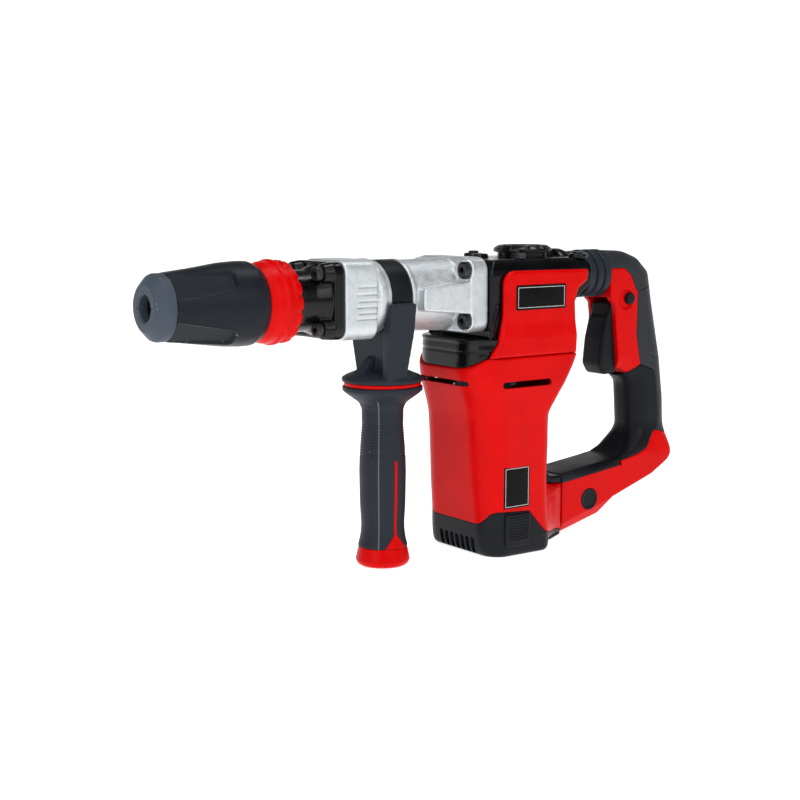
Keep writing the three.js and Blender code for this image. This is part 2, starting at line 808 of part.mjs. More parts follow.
function handleShell(side) {
  const core = plateXZ(inset(HANDLE, OVERMOULD + GAP), [-CORE_HALF, CORE_HALF]);
  const visible = cut(handleBlock, topGrown, rearGrown, lowerGrown);
  const arm = plateXZ(HANDLE, [-ARM_HALF, ARM_HALF]).intersect(region(ARM_REGION));
  const half = side > 0 ? [0.15, 60] : [-60, -0.15];
  const whole = join(core, visible, arm).intersect(box([100, 300], half, [-10, 300]));
  return cut(
    whole,
    plateXZ(TRIGGER_POCKET, [-13.3, 13.3]),
    box([204, 233], [-11.4, 11.4], [147.5, 196.5]),
    box([120, 169], [-12.4, 12.4], [18, 46]),
    plateXZ([[120, 51.5], [196.5, 61], [196.5, 75], [120, 75]], [-19.8, 19.8]),
    rodY(-40, 40, 5.3, PIVOT_X, PIVOT_Z),
    rodY(-40, -ARM_HALF + 3, 9.8, PIVOT_X, PIVOT_Z),
    rodY(ARM_HALF - 3, 40, 9.8, PIVOT_X, PIVOT_Z),
    rodY(-40, -8, 5.4, 206.6, 207.4),
    box([175, 194], [-12, 12], [214, 246]),
    tube(-12, 6, 4.4, 0, "x", 16).rotate([0, GLAND_TILT, 0]).translate(GLAND_SPOT),
  );
}

function overmould(piece) {
  return cut(handleBlock.intersect(piece), coreRoom);
}

function trigger() {
  const profile = [
    [181, 139.5, 5],
    [197, 140.5, 2],
    [199, 203, 4],
    [191.5, 206.3, 4],
    [186.8, 203, 3],
    [183, 192, 8],
    [177.5, 172],
    [174.2, 149, 6],
  ];
  return plateXZ(profile, [-13, 13]);
}

function pivotPin() {
  return join(
    rodY(-ARM_HALF - 0.4, ARM_HALF + 0.4, 5, PIVOT_X, PIVOT_Z, 20),
    rodY(-ARM_HALF - 0.4, -ARM_HALF + 2.6, 9.3, PIVOT_X, PIVOT_Z),
    rodY(ARM_HALF - 2.6, ARM_HALF + 0.4, 9.3, PIVOT_X, PIVOT_Z),
  );
}

function bellows() {
  const [from, to] = [BELLOWS_FRONT, HANDLE_FRONT - GAP];
  const folds = 3;
  const pitch = (to - from) / folds;
  const skin = [[from, 14.5], [from, 18.5]];
  for (let i = 0; i < folds; i++) {
    skin.push([from + pitch * (i + 0.3), 21], [from + pitch * (i + 0.7), 21]);
    if (i + 1 < folds) skin.push([from + pitch * (i + 1), 18]);
  }
  skin.push([to, 18.5], [to, 14.5]);
  return turned(skin);
}

place(hammer, "handle_left", handleShell(-1), "red");
place(hammer, "handle_right", handleShell(1), "red");
place(hammer, "grip_top", overmould(topRegion), "grey");
place(hammer, "grip_rear", overmould(region(REAR_REGION).subtract(topGrown)), "grey");
place(
  hammer,
  "grip_lower",
  overmould(cut(region(LOWER_REGION), rearGrown, topGrown)),
  "rubber",
);
place(
  hammer,
  "arm_pad",
  plateXZ([[125.3, 52.6], [196, 61.4], [194.5, 64.8], [125.3, 56.5]], [-19.5, 19.5]),
  "rubber",
);
place(hammer, "trigger", trigger(), "black");
place(hammer, "lock_button", rodY(-20.5, -11.8, 5, 206.6, 207.4), "black");
place(hammer, "switch_module", box([209, 232.5], [-11, 11], [148, 196]), "black");
place(hammer, "bellows", bellows(), "rubber", [0, 0, BELLOWS_Z]);
place(
  hammer,
  "damping_spring",
  coil({ from: BELLOWS_FRONT + 1.5, to: HANDLE_FRONT - 2, radius: 10, wire: 1.1, turns: 4 }),
  "steel",
  [0, 0, BELLOWS_Z],
);
place(hammer, "pivot_pin", pivotPin(), "rubber");
place(
  hammer,
  "cord_gland",
  turned([[-6, 2.2], [-6, 4.1], [GAP, 4.1], [GAP, 6], [1.8, 5.3], [1.8, 2.2]], "x", 16)
    .rotate([0, GLAND_TILT, 0]),
  "rubber",
  GLAND_SPOT,
);

// ---------------------------------------------------------------- side handle
const BLOCK = [-67.5, -43];

function clampStrap() {
  const band = tube(-62, -43.2, 29.7, NECK_R + GAP);
  const openBelow = box([-70, -40], [-35, 35], [-40, -6]);
  return cut(band, openBelow);
}

function clampSaddle() {
  const [from, to] = BLOCK;
  const cradle = plateYZ(
    [[-36, -3.5, 1.5], [-36, -48], [-26, -67], [26, -67], [36, -48], [36, -3.5, 1.5]],
    BLOCK,
  );
  const room = tube(from - 1, to + 1, 31.4);
  const seat = cut(
    plateYZ([[-33, -6.4], [-33, -45], [33, -45], [33, -6.4]], [-62, to]),
    tube(from - 1, to + 1, NECK_R + GAP),
  );
  const disc = turned([
    [151, 0],
    [151, DISC_R],
    [153.5, DISC_R],
    [155, DISC_R - 1.5],
    [164, 17],
    [164, 0],
  ], "z").translate([SIDE_HANDLE_X, 0, -AXIS_Z]);
  return cut(
    join(cut(cradle, room), seat, disc),
    tube(140, 191, 4.3, 0, "z", 16).translate([SIDE_HANDLE_X, 0, -AXIS_Z]),
  );
}

// The red core of the grip: a ring under the disc, a tube, and the end cap.
function gripCore() {
  return turned([
    [0, 0],
    [0, 19.5],
    [2.5, 21.6],
    [5, 22.3],
    [15, 19.9],
    [15.7, 11],
    [147.7, 11],
    [147.7, 31],
    [150.7, 31],
    [150.7, 4.3],
    [98, 4.3],
    [98, 0],
  ], "z");
}

function gripSleeve() {
  return turned([
    [147.4, 11.3],
    [147.4, 32.5],
    [143.8, 32.5],
    [142, 30.5],
    [136, 20],
    [130, 17.2],
    [122, 16.8],
    [104, 18],
    [80, 19],
    [50, 18.6],
    [26, 17.2],
    [18, 19.2],
    [16, 20],
    [16, 11.3],
  ], "z");
}

place(toolAxis, "clamp_strap", clampStrap(), "black");
place(toolAxis, "clamp_saddle", clampSaddle(), "rubber");
place(sideHandle, "clamp_bolt", tube(100, 184, 4, 0, "z", 16), "steel");
place(sideHandle, "grip_core", gripCore(), "red");
place(sideHandle, "grip_sleeve", gripSleeve(), "rubber");

export default hammer;
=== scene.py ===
import math

import bmesh
import bpy
import numpy as np
from mathutils import Matrix, Vector


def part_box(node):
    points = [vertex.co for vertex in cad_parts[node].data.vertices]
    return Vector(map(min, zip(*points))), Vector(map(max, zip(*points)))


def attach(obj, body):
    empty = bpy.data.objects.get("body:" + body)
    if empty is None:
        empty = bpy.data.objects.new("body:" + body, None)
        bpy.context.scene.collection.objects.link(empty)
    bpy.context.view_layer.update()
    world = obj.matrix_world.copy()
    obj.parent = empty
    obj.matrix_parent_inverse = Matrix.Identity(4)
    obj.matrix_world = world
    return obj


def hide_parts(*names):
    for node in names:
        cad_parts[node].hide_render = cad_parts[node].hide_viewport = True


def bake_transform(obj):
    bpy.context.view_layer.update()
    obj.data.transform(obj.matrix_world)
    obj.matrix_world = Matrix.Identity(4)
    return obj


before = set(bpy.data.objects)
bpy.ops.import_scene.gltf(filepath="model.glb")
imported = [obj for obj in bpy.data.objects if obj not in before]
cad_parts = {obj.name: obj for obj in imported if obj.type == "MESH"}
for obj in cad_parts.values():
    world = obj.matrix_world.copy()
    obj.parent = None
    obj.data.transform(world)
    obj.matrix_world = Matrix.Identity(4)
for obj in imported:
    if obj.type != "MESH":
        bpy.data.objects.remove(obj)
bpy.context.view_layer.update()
MM = 0.001


# ---------------------------------------------------------------- places taken from the frame
def low(node, axis):
    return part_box(node)[0]["xyz".index(axis)] / MM


def high(node, axis):
    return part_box(node)[1]["xyz".index(axis)] / MM


def mid(node, axis):
    return (low(node, axis) + high(node, axis)) / 2


GAP = 0.25  # parting line between pieces that meet
AXIS_Z = mid("tool_holder", "z")
TOOL = (0, 0, AXIS_Z)
BORE_R = 20.3
NOSE_X = low("dust_cap", "x")
SLEEVE_FRONT = low("locking_sleeve", "x")
SLEEVE_REAR = high("locking_sleeve", "x")
RING_REAR = high("index_ring", "x")
FLANGE_BACK = high("front_flange", "x")
BARREL_FRONT = low("barrel_housing", "x")
BARREL_REAR = high("barrel_housing", "x")
GEARCASE_FRONT = low("gear_housing", "x")
GEARCASE_REAR = high("gear_housing", "x")
CASE_HALF = 41.7
COLLAR_FRONT = 9.3
COLLAR_HALF = 46.4
SHELL_HALF = high("side_cover_right", "y")
SEAM_Z = 167
SIDE_X = mid("grip_sleeve", "x")
SIDE = (SIDE_X, 0, 0)
CAP_X = mid("grease_cap", "x")
CAP = (CAP_X, 0, 0)
MOTOR = (mid("stator", "x"), 0, 0)
CRANK_X = mid("upper_bearing", "x") + 31.25
BELLOWS_Z = mid("bellows", "z")
BELLOWS = (0, 0, BELLOWS_Z)
HANDLE_FRONT = low("grip_top", "x")
PIVOT = (mid("pivot_pin", "x"), 0, mid("pivot_pin", "z"))
BUTTON_X = mid("lock_button", "x")
BUTTON_Z = mid("lock_button", "z")
BUTTON = (BUTTON_X, 0, BUTTON_Z)
GRIP_HALF = high("grip_rear", "y")
ARM_HALF = 22.5
CORE_HALF = 12.5
CORE_DEPTH = 5


THROUGH = (-60, 60)  # across the whole width of the hammer
CASE_FLOOR = 158.6
CASE_ROOF = 248.6
SPIGOT_R = 22.3  # room for the grease cap's neck
PIN_R = 5.3
CAP_ROOM_R = 9.8


# ---------------------------------------------------------------- mesh helpers
def add_piece(name, points, faces):
    mesh = bpy.data.meshes.new(name)
    mesh.from_pydata((np.asarray(points, float) * MM).tolist(), [], faces)
    work = bmesh.new()
    work.from_mesh(mesh)
    bmesh.ops.remove_doubles(work, verts=work.verts, dist=1e-6)
    bmesh.ops.dissolve_degenerate(work, edges=work.edges, dist=1e-6)
    bmesh.ops.recalc_face_normals(work, faces=work.faces)
    work.to_mesh(mesh)
    work.free()
    piece = bpy.data.objects.new(name, mesh)
    bpy.context.scene.collection.objects.link(piece)
    return piece


def skin(name, rings, wrap=False):
    """A closed surface over rings of points: wrapped onto itself, or with flat ends."""
    rings = np.asarray(rings, float)
    rows, count = rings.shape[:2]
    faces = []
    for row in range(rows if wrap else rows - 1):
        a = row * count
        b = (row + 1) % rows * count
        faces += [(a + i, a + (i + 1) % count, b + (i + 1) % count, b + i) for i in range(count)]
    if not wrap:
        faces.append(tuple(range(count)))
        faces.append(tuple(range((rows - 1) * count, rows * count)))
    return add_piece(name, rings.reshape(-1, 3), faces)


def rounded(corners, steps=6):
    """The outline through (x, y, radius) corners, with each corner turned into an arc."""
    points = []
    for i, corner in enumerate(corners):
        here = Vector(corner[:2])
        radius = corner[2] if len(corner) > 2 else 0
        if not radius:
            points.append(here)
            continue
        back = (Vector(corners[i - 1][:2]) - here).normalized()
        on = (Vector(corners[(i + 1) % len(corners)][:2]) - here).normalized()
        half = back.angle(on) / 2
        centre = here + (back + on).normalized() * radius / math.sin(half)
        start = here + back * radius / math.tan(half) - centre
        end = here + on * radius / math.tan(half) - centre
        sweep = math.atan2(start.x * end.y - start.y * end.x, start.dot(end))
        for k in range(steps + 1):
            points.append(centre + Matrix.Rotation(sweep * k / steps, 2) @ start)
    return points


def inset(corners, distance):
    """The (x, y, radius) corners with each edge between them moved inwards by distance."""
    points = [Vector(c[:2]) for c in corners]
    area = sum(a.x * b.y - a.y * b.x for a, b in zip(points, points[1:] + points[:1]))
    side = 1 if area > 0 else -1
    moved = []
    for i, corner in enumerate(corners):
        here = points[i]
        a = (here - points[i - 1]).normalized()
        b = (points[(i + 1) % len(points)] - here).normalized()
        normal = Vector((-a.y - b.y, a.x + b.x)).normalized() * side
        reach = distance / max(0.35, normal.dot(Vector((-a.y, a.x)) * side))
        convex = (a.x * b.y - a.y * b.x) * side > 0
        radius = corner[2] if len(corner) > 2 else 0
        radius = max(0.12, radius - distance if convex else radius + distance)
        moved.append((*(here + normal * reach), radius))
    return moved


def oblong(across, up, radius):
    """The four equally rounded corners of a rectangle."""
    (left, right), (bottom, top) = across, up
    return [(left, bottom, radius), (right, bottom, radius), (right, top, radius),
            (left, top, radius)]


PLANES = {
    "xz": lambda u, v, w: (u, w, v),
    "yz": lambda u, v, w: (w, u, v),
    "xy": lambda u, v, w: (u, v, w),
}


def plate(name, corners, span, plane="xz", edge=0.0, steps=6, edge_steps=5):
    """An outline with a thickness, whose rims are rounded to the radius edge."""
    start, end = span
    levels = [(0.0, start), (0.0, end)]
    if edge:
        turns = [math.pi / 2 * k / edge_steps for k in range(edge_steps + 1)]
        rim = [(edge * (1 - math.sin(t)), edge * (1 - math.cos(t))) for t in turns]
        levels = [(shrink, start + depth) for shrink, depth in rim]
        levels += [(shrink, end - depth) for shrink, depth in reversed(rim)]
    place = PLANES[plane]
    rings = [
        [place(p.x, p.y, depth) for p in rounded(inset(corners, shrink), steps)]
        for shrink, depth in levels
    ]
    return skin(name, rings)


def box(name, x, y, z):
    corners = [(x[0], z[0]), (x[1], z[0]), (x[1], z[1]), (x[0], z[1])]
    return skin(name, [[(u, w, v) for u, v in corners] for w in y])


def refined(points, spacing, closed):
    fine = []
    ends = points[1:] + points[:1] if closed else points[1:]
    for a, b in zip(points, ends):
        steps = max(1, round((b - a).length / spacing))
        fine += [a.lerp(b, k / steps) for k in range(steps)]
    return fine if closed else fine + [points[-1]]


SPINS = {
    "x": lambda a, c, s: (a, c, s),
    "y": lambda a, c, s: (s, a, c),
    "z": lambda a, c, s: (c, s, a),
}


def revolve(name, profile, centre=TOOL, axis="x", segments=128, spacing=0, relief=None):
    """A solid of revolution from (along, radius, rounding) corners; relief(along, radius, angle)
    returns the two arrays changed. A profile that starts off the axis closes on itself."""
    outline = rounded(profile)
    closed = profile[0][1] > 0
    if spacing:
        outline = refined(outline, spacing, closed)
    angle = np.linspace(0, 2 * math.pi, segments, endpoint=False)[None, :]
    along = np.array([p.x for p in outline])[:, None] + 0 * angle
    radius = np.array([p.y for p in outline])[:, None] + 0 * angle
    if relief:
        along, radius = relief(along, radius, angle + 0 * along)
    spun = SPINS[axis](along, radius * np.cos(angle), radius * np.sin(angle))
    return skin(name, np.stack(spun, axis=-1) + np.array(centre), wrap=closed)


def rod(name, span, radius, centre, axis, segments=48, edge=0.0):
    start, end = span
    profile = [(start, 0), (start, radius, edge), (end, radius, edge), (end, 0)]
    return revolve(name, profile, centre, axis, segments)


def sweep(name, path, radius, sides=12):
    """A round bead along a path of points, with flat ends."""
    path = [Vector(p) for p in path]
    rings = []
    for i, here in enumerate(path):
        ahead = (path[min(i + 1, len(path) - 1)] - path[max(i - 1, 0)]).normalized()
        side = ahead.cross(Vector((0, 0, 1)) if abs(ahead.z) < 0.9 else Vector((0, 1, 0)))
        side.normalize()
        up = side.cross(ahead)
        turns = [2 * math.pi * k / sides for k in range(sides)]
        rings.append([here + (side * math.cos(t) + up * math.sin(t)) * radius for t in turns])
    return skin(name, rings)


def settle(piece):
    """Applies the piece's modifiers."""
    graph = bpy.context.evaluated_depsgraph_get()
    mesh = bpy.data.meshes.new_from_object(piece.evaluated_get(graph))
    piece.modifiers.clear()
    piece.data = mesh
    return piece


def combine(piece, tools, operation):
    for tool in tools:
        modifier = piece.modifiers.new("combine", "BOOLEAN")
        modifier.operation = operation
        modifier.object = tool
        modifier.solver = "EXACT"
        settle(piece)
        bpy.data.objects.remove(tool)
    return piece


def cut(piece, *tools):
    return combine(piece, tools, "DIFFERENCE")


def join(piece, *tools):
    return combine(piece, tools, "UNION")


def common(piece, *tools):
    return combine(piece, tools, "INTERSECT")


def gather(piece, *others):
    """Puts overlapping solids in one mesh, for mould() to melt together."""
    work = bmesh.new()
    for part in (piece, *others):
        work.from_mesh(part.data)
    work.to_mesh(piece.data)
    work.free()
    for part in others:
        bpy.data.objects.remove(part)
    return piece


def copy(piece, name):
    twin = bpy.data.objects.new(name, piece.data.copy())
    bpy.context.scene.collection.objects.link(twin)
    return twin


def mirrored(piece, name):
    twin = copy(piece, name)
    twin.data.transform(Matrix.Scale(-1, 4, Vector((0, 1, 0))))
    twin.data.flip_normals()
    return twin


def mould(piece, voxel=0.7, passes=5):
    """Melts the sharp edges of a piece into the small radii of a moulding or casting."""
    grid = piece.modifiers.new("grid", "REMESH")
    grid.mode = "VOXEL"
    grid.voxel_size = voxel * MM
    soft = piece.modifiers.new("soft", "SMOOTH")
    soft.iterations = passes
    settle(piece)
    piece.data.shade_smooth()
    return piece


def shade(piece, angle=32):
    piece.data.shade_smooth()
    piece.data.set_sharp_from_angle(angle=math.radians(angle))
    return piece


def smoothstep(value, start, end):
    t = np.clip((value - start) / (end - start), 0, 1)
    return t * t * (3 - 2 * t)


def fit(piece, body, slot, material, *nodes):
    piece.data.materials.clear()
    piece.data.materials.append(material)
    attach(piece, body)
    if nodes:
        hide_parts(*nodes)
    return piece


def fit_pair(piece, slot, material, node=None, body="housing"):
    """Fits a piece whose name and node end in left, and its mirror image on the right."""
    other = mirrored(piece, piece.name.replace("left", "right"))
    nodes = [node.replace("left", side) for side in ("left", "right")] if node else []
    fit(piece, body, slot, material, *nodes[:1])
    fit(other, body, slot, material, *nodes[1:])


def moved_points(piece, move):
    """Passes the piece's points, in millimetres, through move."""
    co = np.empty(len(piece.data.vertices) * 3)
    piece.data.vertices.foreach_get("co", co)
    co = co.reshape(-1, 3) / MM
    move(co)
    piece.data.vertices.foreach_set("co", (co * MM).ravel())
    return piece


# ---------------------------------------------------------------- materials
def map_range(tree, value, start, end, first, last, interpolation="LINEAR"):
    """Turns a value from start to end into one from first to last."""
    change = tree.nodes.new("ShaderNodeMapRange")
    change.interpolation_type = interpolation
    change.inputs["From Min"].default_value = start
    change.inputs["From Max"].default_value = end
    change.inputs["To Min"].default_value = first
    change.inputs["To Max"].default_value = last
    tree.links.new(value, change.inputs["Value"])
    return change.outputs["Result"]


def surface(
    name,
    colour,
    roughness,
    metallic=0.0,
    specular=0.5,
    coat=0.0,
    cloud=(45, 0.06),
    grain=(1800, 0.10, 0.12),
    spread=0.06,
    edge_wear_and_highlight=None,
):
    """A moulded, cast or turned surface. cloud is the scale and share of slow colour changes,
    grain the scale, strength and depth in mm of the fine bump, spread the change of roughness,
    and the last argument the lighter colour painted on convex edges with its share: partly
    wear, partly a painted highlight along the edges."""
    material = bpy.data.materials.new(name)
    material.use_nodes = True
    nodes, links = material.node_tree.nodes, material.node_tree.links
    shader = nodes["Principled BSDF"]
    shader.inputs["Metallic"].default_value = metallic
    shader.inputs["Specular IOR Level"].default_value = specular
    shader.inputs["Coat Weight"].default_value = coat
    shader.inputs["Coat Roughness"].default_value = 0.12
    place = nodes.new("ShaderNodeTexCoord")

    def noise(scale, detail):
        texture = nodes.new("ShaderNodeTexNoise")
        texture.inputs["Scale"].default_value = scale
        texture.inputs["Detail"].default_value = detail
        links.new(place.outputs["Object"], texture.inputs["Vector"])
        return texture.outputs["Fac"]

    def ranged(value, first, last):
        return map_range(material.node_tree, value, 0.3, 0.7, first, last)

    def mixed(factor, first, second):
        mix = nodes.new("ShaderNodeMix")
        mix.data_type = "RGBA"
        links.new(factor, mix.inputs["Factor"])
        for socket, value in ((mix.inputs["A"], first), (mix.inputs["B"], second)):
            if isinstance(value, tuple):
                socket.default_value = (*value, 1)
            else:
                links.new(value, socket)
        return mix.outputs["Result"]

    slow = noise(cloud[0], 3)
    darker = tuple(c * (1 - cloud[1]) for c in colour)
    lighter = tuple(min(1, c * (1 + cloud[1]) + 0.01 * cloud[1]) for c in colour)
    tint = mixed(ranged(slow, 0, 1), darker, lighter)
    if edge_wear_and_highlight:
        # Convex edges take a lighter colour: partly wear, partly a painted highlight.
        geometry = nodes.new("ShaderNodeNewGeometry")
        edges = map_range(material.node_tree, geometry.outputs["Pointiness"], 0.55, 0.66, 0,
                          edge_wear_and_highlight[1])
        tint = mixed(edges, tint, edge_wear_and_highlight[0])
    links.new(tint, shader.inputs["Base Color"])
    fine = noise(grain[0], 2)
    links.new(
        ranged(slow, roughness - spread, roughness + spread), shader.inputs["Roughness"]
    )
    bump = nodes.new("ShaderNodeBump")
    bump.inputs["Strength"].default_value = grain[1]
    bump.inputs["Distance"].default_value = grain[2] * MM
    links.new(fine, bump.inputs["Height"])
    links.new(bump.outputs["Normal"], shader.inputs["Normal"])
    return material


# Each lighter edge colour below is partly wear and partly a painted highlight along the edges.
RED = surface("red plastic", (0.56, 0.0001, 0.0002), 0.34, specular=0.08,
              grain=(1500, 0.10, 0.08), edge_wear_and_highlight=((0.8, 0.04, 0.04), 0.6))
BLACK = surface("black plastic", (0.0065, 0.008, 0.0105), 0.4, specular=0.12,
                grain=(2300, 0.35, 0.12), edge_wear_and_highlight=((0.10, 0.115, 0.135), 0.7))
CASTING = surface("black casting", (0.0015, 0.0018, 0.0024), 0.22, specular=0.22, coat=0.05,
                  grain=(700, 0.20, 0.20), edge_wear_and_highlight=((0.07, 0.075, 0.085), 0.7))
SILVER = surface("silver casting", (0.56, 0.59, 0.61), 0.44, metallic=0.75, specular=0.5,
                 cloud=(220, 0.07), grain=(1300, 0.6, 0.24), spread=0.08,
                 edge_wear_and_highlight=((0.9, 0.91, 0.92), 0.8))
SLEEVE = surface("sleeve plastic", (0.008, 0.0102, 0.0145), 0.4, specular=0.12,
                 grain=(1700, 0.22, 0.10), edge_wear_and_highlight=((0.17, 0.19, 0.22), 0.8))
RUBBER = surface("charcoal rubber", (0.015, 0.019, 0.027), 0.48, specular=0.14,
                 grain=(1500, 0.25, 0.10), edge_wear_and_highlight=((0.15, 0.17, 0.2), 0.7))
CAP_RUBBER = surface("cap rubber", (0.045, 0.057, 0.077), 0.5, specular=0.16,
                     grain=(1500, 0.25, 0.10), edge_wear_and_highlight=((0.2, 0.23, 0.27), 0.7))
GRIP_BLACK = surface("black grip rubber", (0.0045, 0.0056, 0.0078), 0.4, specular=0.12,
                     grain=(1900, 0.25, 0.1), edge_wear_and_highlight=((0.11, 0.125, 0.15), 0.7))
GREY = surface("grey rubber", (0.018, 0.0205, 0.025), 0.5, specular=0.2,
               grain=(1500, 0.30, 0.10), edge_wear_and_highlight=((0.24, 0.26, 0.29), 0.7))
GLOSS = surface("plate gloss", (0.002, 0.002, 0.0025), 0.3, specular=0.08,
                grain=(900, 0.02, 0.05))
LINE = surface("plate line", (0.45, 0.45, 0.45), 0.3, specular=0.5, grain=(900, 0.02, 0.05))
BOLT = surface("black oxide steel", (0.035, 0.036, 0.04), 0.3, metallic=0.7,
               cloud=(400, 0.3), grain=(1600, 0.2, 0.1), spread=0.1,
               edge_wear_and_highlight=((0.4, 0.4, 0.41), 0.8))
STEEL = surface("ground steel", (0.56, 0.57, 0.58), 0.28, metallic=1.0,
                cloud=(300, 0.12), grain=(2500, 0.12, 0.06), spread=0.1)
DARK_STEEL = surface("dark steel", (0.06, 0.062, 0.068), 0.34, metallic=0.9,
                     cloud=(250, 0.2), grain=(2200, 0.15, 0.08), spread=0.08)
COPPER = surface("winding", (0.42, 0.16, 0.06), 0.4, metallic=0.9, cloud=(300, 0.3),
                 grain=(900, 0.6, 0.5))
CARBON = surface("carbon", (0.02, 0.02, 0.021), 0.7, cloud=(600, 0.3), grain=(1500, 0.5, 0.2))


# ---------------------------------------------------------------- chuck
def dust_cap():
    rim = SLEEVE_FRONT - 0.4
    profile = [
        (-254.3, 9.9), (NOSE_X + 1.4, 9.7, 0.3), (NOSE_X, 11.2, 0.5), (NOSE_X, 17.2, 0.8),
        (NOSE_X + 1.2, 18.9, 0.8), (NOSE_X + 6.6, 24.4, 1.0), (NOSE_X + 8.6, 25.1, 0.8),
        (rim, 25.1, 0.7), (rim, 20.4), (-254.3, 20.4),
    ]

    def dimples(along, radius, angle):
        """Four shallow notches round the mouth of the socket."""
        near = smoothstep(np.cos(4 * angle), 0.86, 0.98)
        mouth = smoothstep(12.2 - radius, 0, 0.6) * smoothstep(-along, 257, 260)
        return along, radius + 0.9 * near * mouth

    piece = revolve("dust_cap_skin", profile, segments=240, spacing=0.5, relief=dimples)
    fit(shade(piece, 50), "holder", "soft_rubber", CAP_RUBBER, "dust_cap")


SHOULDER_X = -200
PANEL_ANGLES = [math.radians(a) for a in (50, 140, 230, 320)]


def sleeve_panels(along, radius, angle):
    """Four flat panels, wide at the front, sunk into the cone with a thin raised rim."""
    front, back = SLEEVE_FRONT + 0.2, SHOULDER_X + 1.5
    changed = radius.copy()
    outside = radius > 24
    for middle in PANEL_ANGLES:
        turn = (angle - middle + math.pi) % (2 * math.pi) - math.pi
        facing = np.abs(turn) < 1.0
        across = np.abs(radius * np.sin(turn))
        half = np.interp(along, [front, back], [11.6, 8.0])
        corner = 4.0
        dx = np.maximum(along - (back - corner), 0)
        dy = np.maximum(across - (half - corner), 0)
        inside = np.where((dx > 0) & (dy > 0), corner - np.hypot(dx, dy),
                          np.minimum(half - across, back - along))
        floor = (radius - 2.7) / np.maximum(np.cos(turn), 0.3)
        depth = smoothstep(inside, 0.0, 1.0)
        sunk = changed + (np.minimum(floor, changed) - changed) * depth
        rim = 0.5 * np.exp(-(((inside + 0.7) / 0.42) ** 2))
        changed = np.where(facing & outside, sunk + rim, changed)
    return along, changed


def locking_sleeve():
    profile = [
        (SLEEVE_FRONT, 20.6), (SLEEVE_FRONT, 24.9, 0.6), (SHOULDER_X, 31.3, 60),
        (-186, 32.1, 30), (-178.0, 31.9, 5), (SLEEVE_REAR, 28.9, 1.2), (SLEEVE_REAR, 27.2),
        (SHOULDER_X, 27.2), (SHOULDER_X, 20.6),
    ]
    piece = revolve("locking_sleeve_skin", profile, segments=600, spacing=0.45,
                    relief=sleeve_panels)
    fit(shade(piece, 60), "sleeve", "sleeve_plastic", SLEEVE, "locking_sleeve")


def index_ring():
    front = SLEEVE_REAR + 0.3
    profile = [
        (front, 24.6), (front, 28.4, 0.8), (-166, 31.2, 6), (-160.4, 31.5, 0.8),
        (-159.2, 32.8, 0.9), (-156.4, 32.8, 0.9), (-155.4, 30.9, 0.8), (-152.4, 30.9, 0.8),
        (-151, 32.0, 1.2), (-146.5, 31.6, 1.6), (RING_REAR, 29.2, 1.0), (RING_REAR, 24.6),
    ]

    def scallops(along, radius, angle):
        wave = smoothstep(np.cos(15 * angle), 0.1, 1.0)
        rear = smoothstep(along, -153.5, -150.5) * smoothstep(radius, 26, 29)
        return along - 1.0 * rear * wave * smoothstep(along, -150, -145), (
            radius - 0.7 * rear * wave
        )

    piece = revolve("index_ring_skin", profile, segments=420, spacing=0.6, relief=scallops)
    fit(shade(piece, 50), "sleeve", "red_plastic", RED, "index_ring")


# ---------------------------------------------------------------- screws
def cap_screw(name, head_r, head_length, shank_r, length):
    """A socket-head screw along +X whose head's face is at x = 0."""
    profile = [
        (0, 0), (0, head_r, 0.5), (head_length, head_r, 0.25), (head_length, shank_r),
        (length, shank_r), (length, 0),
    ]

    def knurl(along, radius, angle):
        side = smoothstep(radius, head_r - 0.3, head_r) * smoothstep(along, 0.8, 1.4)
        return along, radius - 0.22 * side * (0.5 + 0.5 * np.cos(28 * angle))

    screw = revolve(name, profile, (0, 0, 0), "x", 168, 0.45, knurl)
    socket = revolve("socket", [(-1, 0), (-1, head_r * 0.55), (head_length * 0.6, head_r * 0.55),
                                (head_length * 0.6, 0)], (0, 0, 0), "x", 6)
    return shade(cut(screw, socket), 40)


def screw_set(node, body, model, material=BOLT, turn=None):
    """Copies of one screw, each in the place of its CAD node."""
    for i in range(1, 5):
        name = f"{node}_{i}"
        piece = copy(model, f"{name}_skin")
        if turn:
            piece.data.transform(turn)
        start = (high(name, "z") if turn else low(name, "x"))
        spot = (mid(name, "x"), mid(name, "y"), start) if turn else (
            start, mid(name, "y"), mid(name, "z"))
        piece.data.transform(Matrix.Translation(Vector(spot) * MM))
        fit(piece, body, "bright_steel", material, name)
    bpy.data.objects.remove(model)


# ---------------------------------------------------------------- front housings
FLANGE_SPOTS = [(-21.5, -21.5), (21.5, -21.5), (21.5, 21.5), (-21.5, 21.5)]
HOUSING_SPOTS = [(-32, -20.4), (32, -20.4), (32, 20.4), (-32, 20.4)]


def square(half, radius, lift=AXIS_Z):
    return oblong((-half, half), (lift - half, lift + half), radius)


def front_flange():
    plate_front = -116.5
    neck = revolve("front_flange_skin", [
        (RING_REAR + 0.7, 0), (RING_REAR + 0.7, 24, 0.8), (-127, 24, 6), (plate_front, 28, 2),
        (FLANGE_BACK, 28), (FLANGE_BACK, 0),
    ])
    lobes = [
        revolve("lobe", [(-124.2, 0), (-124.2, 7.4, 1.2), (plate_front + 1, 8.6), (plate_front + 1, 0)],
                (0, y, AXIS_Z + z), "x", 48)
        for y, z in FLANGE_SPOTS
    ]
    base = plate("base", square(30, 9), (plate_front, FLANGE_BACK), "yz", 1.6)
    join(neck, base, *lobes)
    mould(neck, 0.6, 5)
    cut(neck, rod("bore", (-160, -90), BORE_R, TOOL, "x", 96))
    fit(shade(neck, 60), "housing", "black_casting", CASTING, "front_flange")


RIB_HEIGHTS = (10.3, 4.6, -0.6, -5.2, -9.8, -14.4)


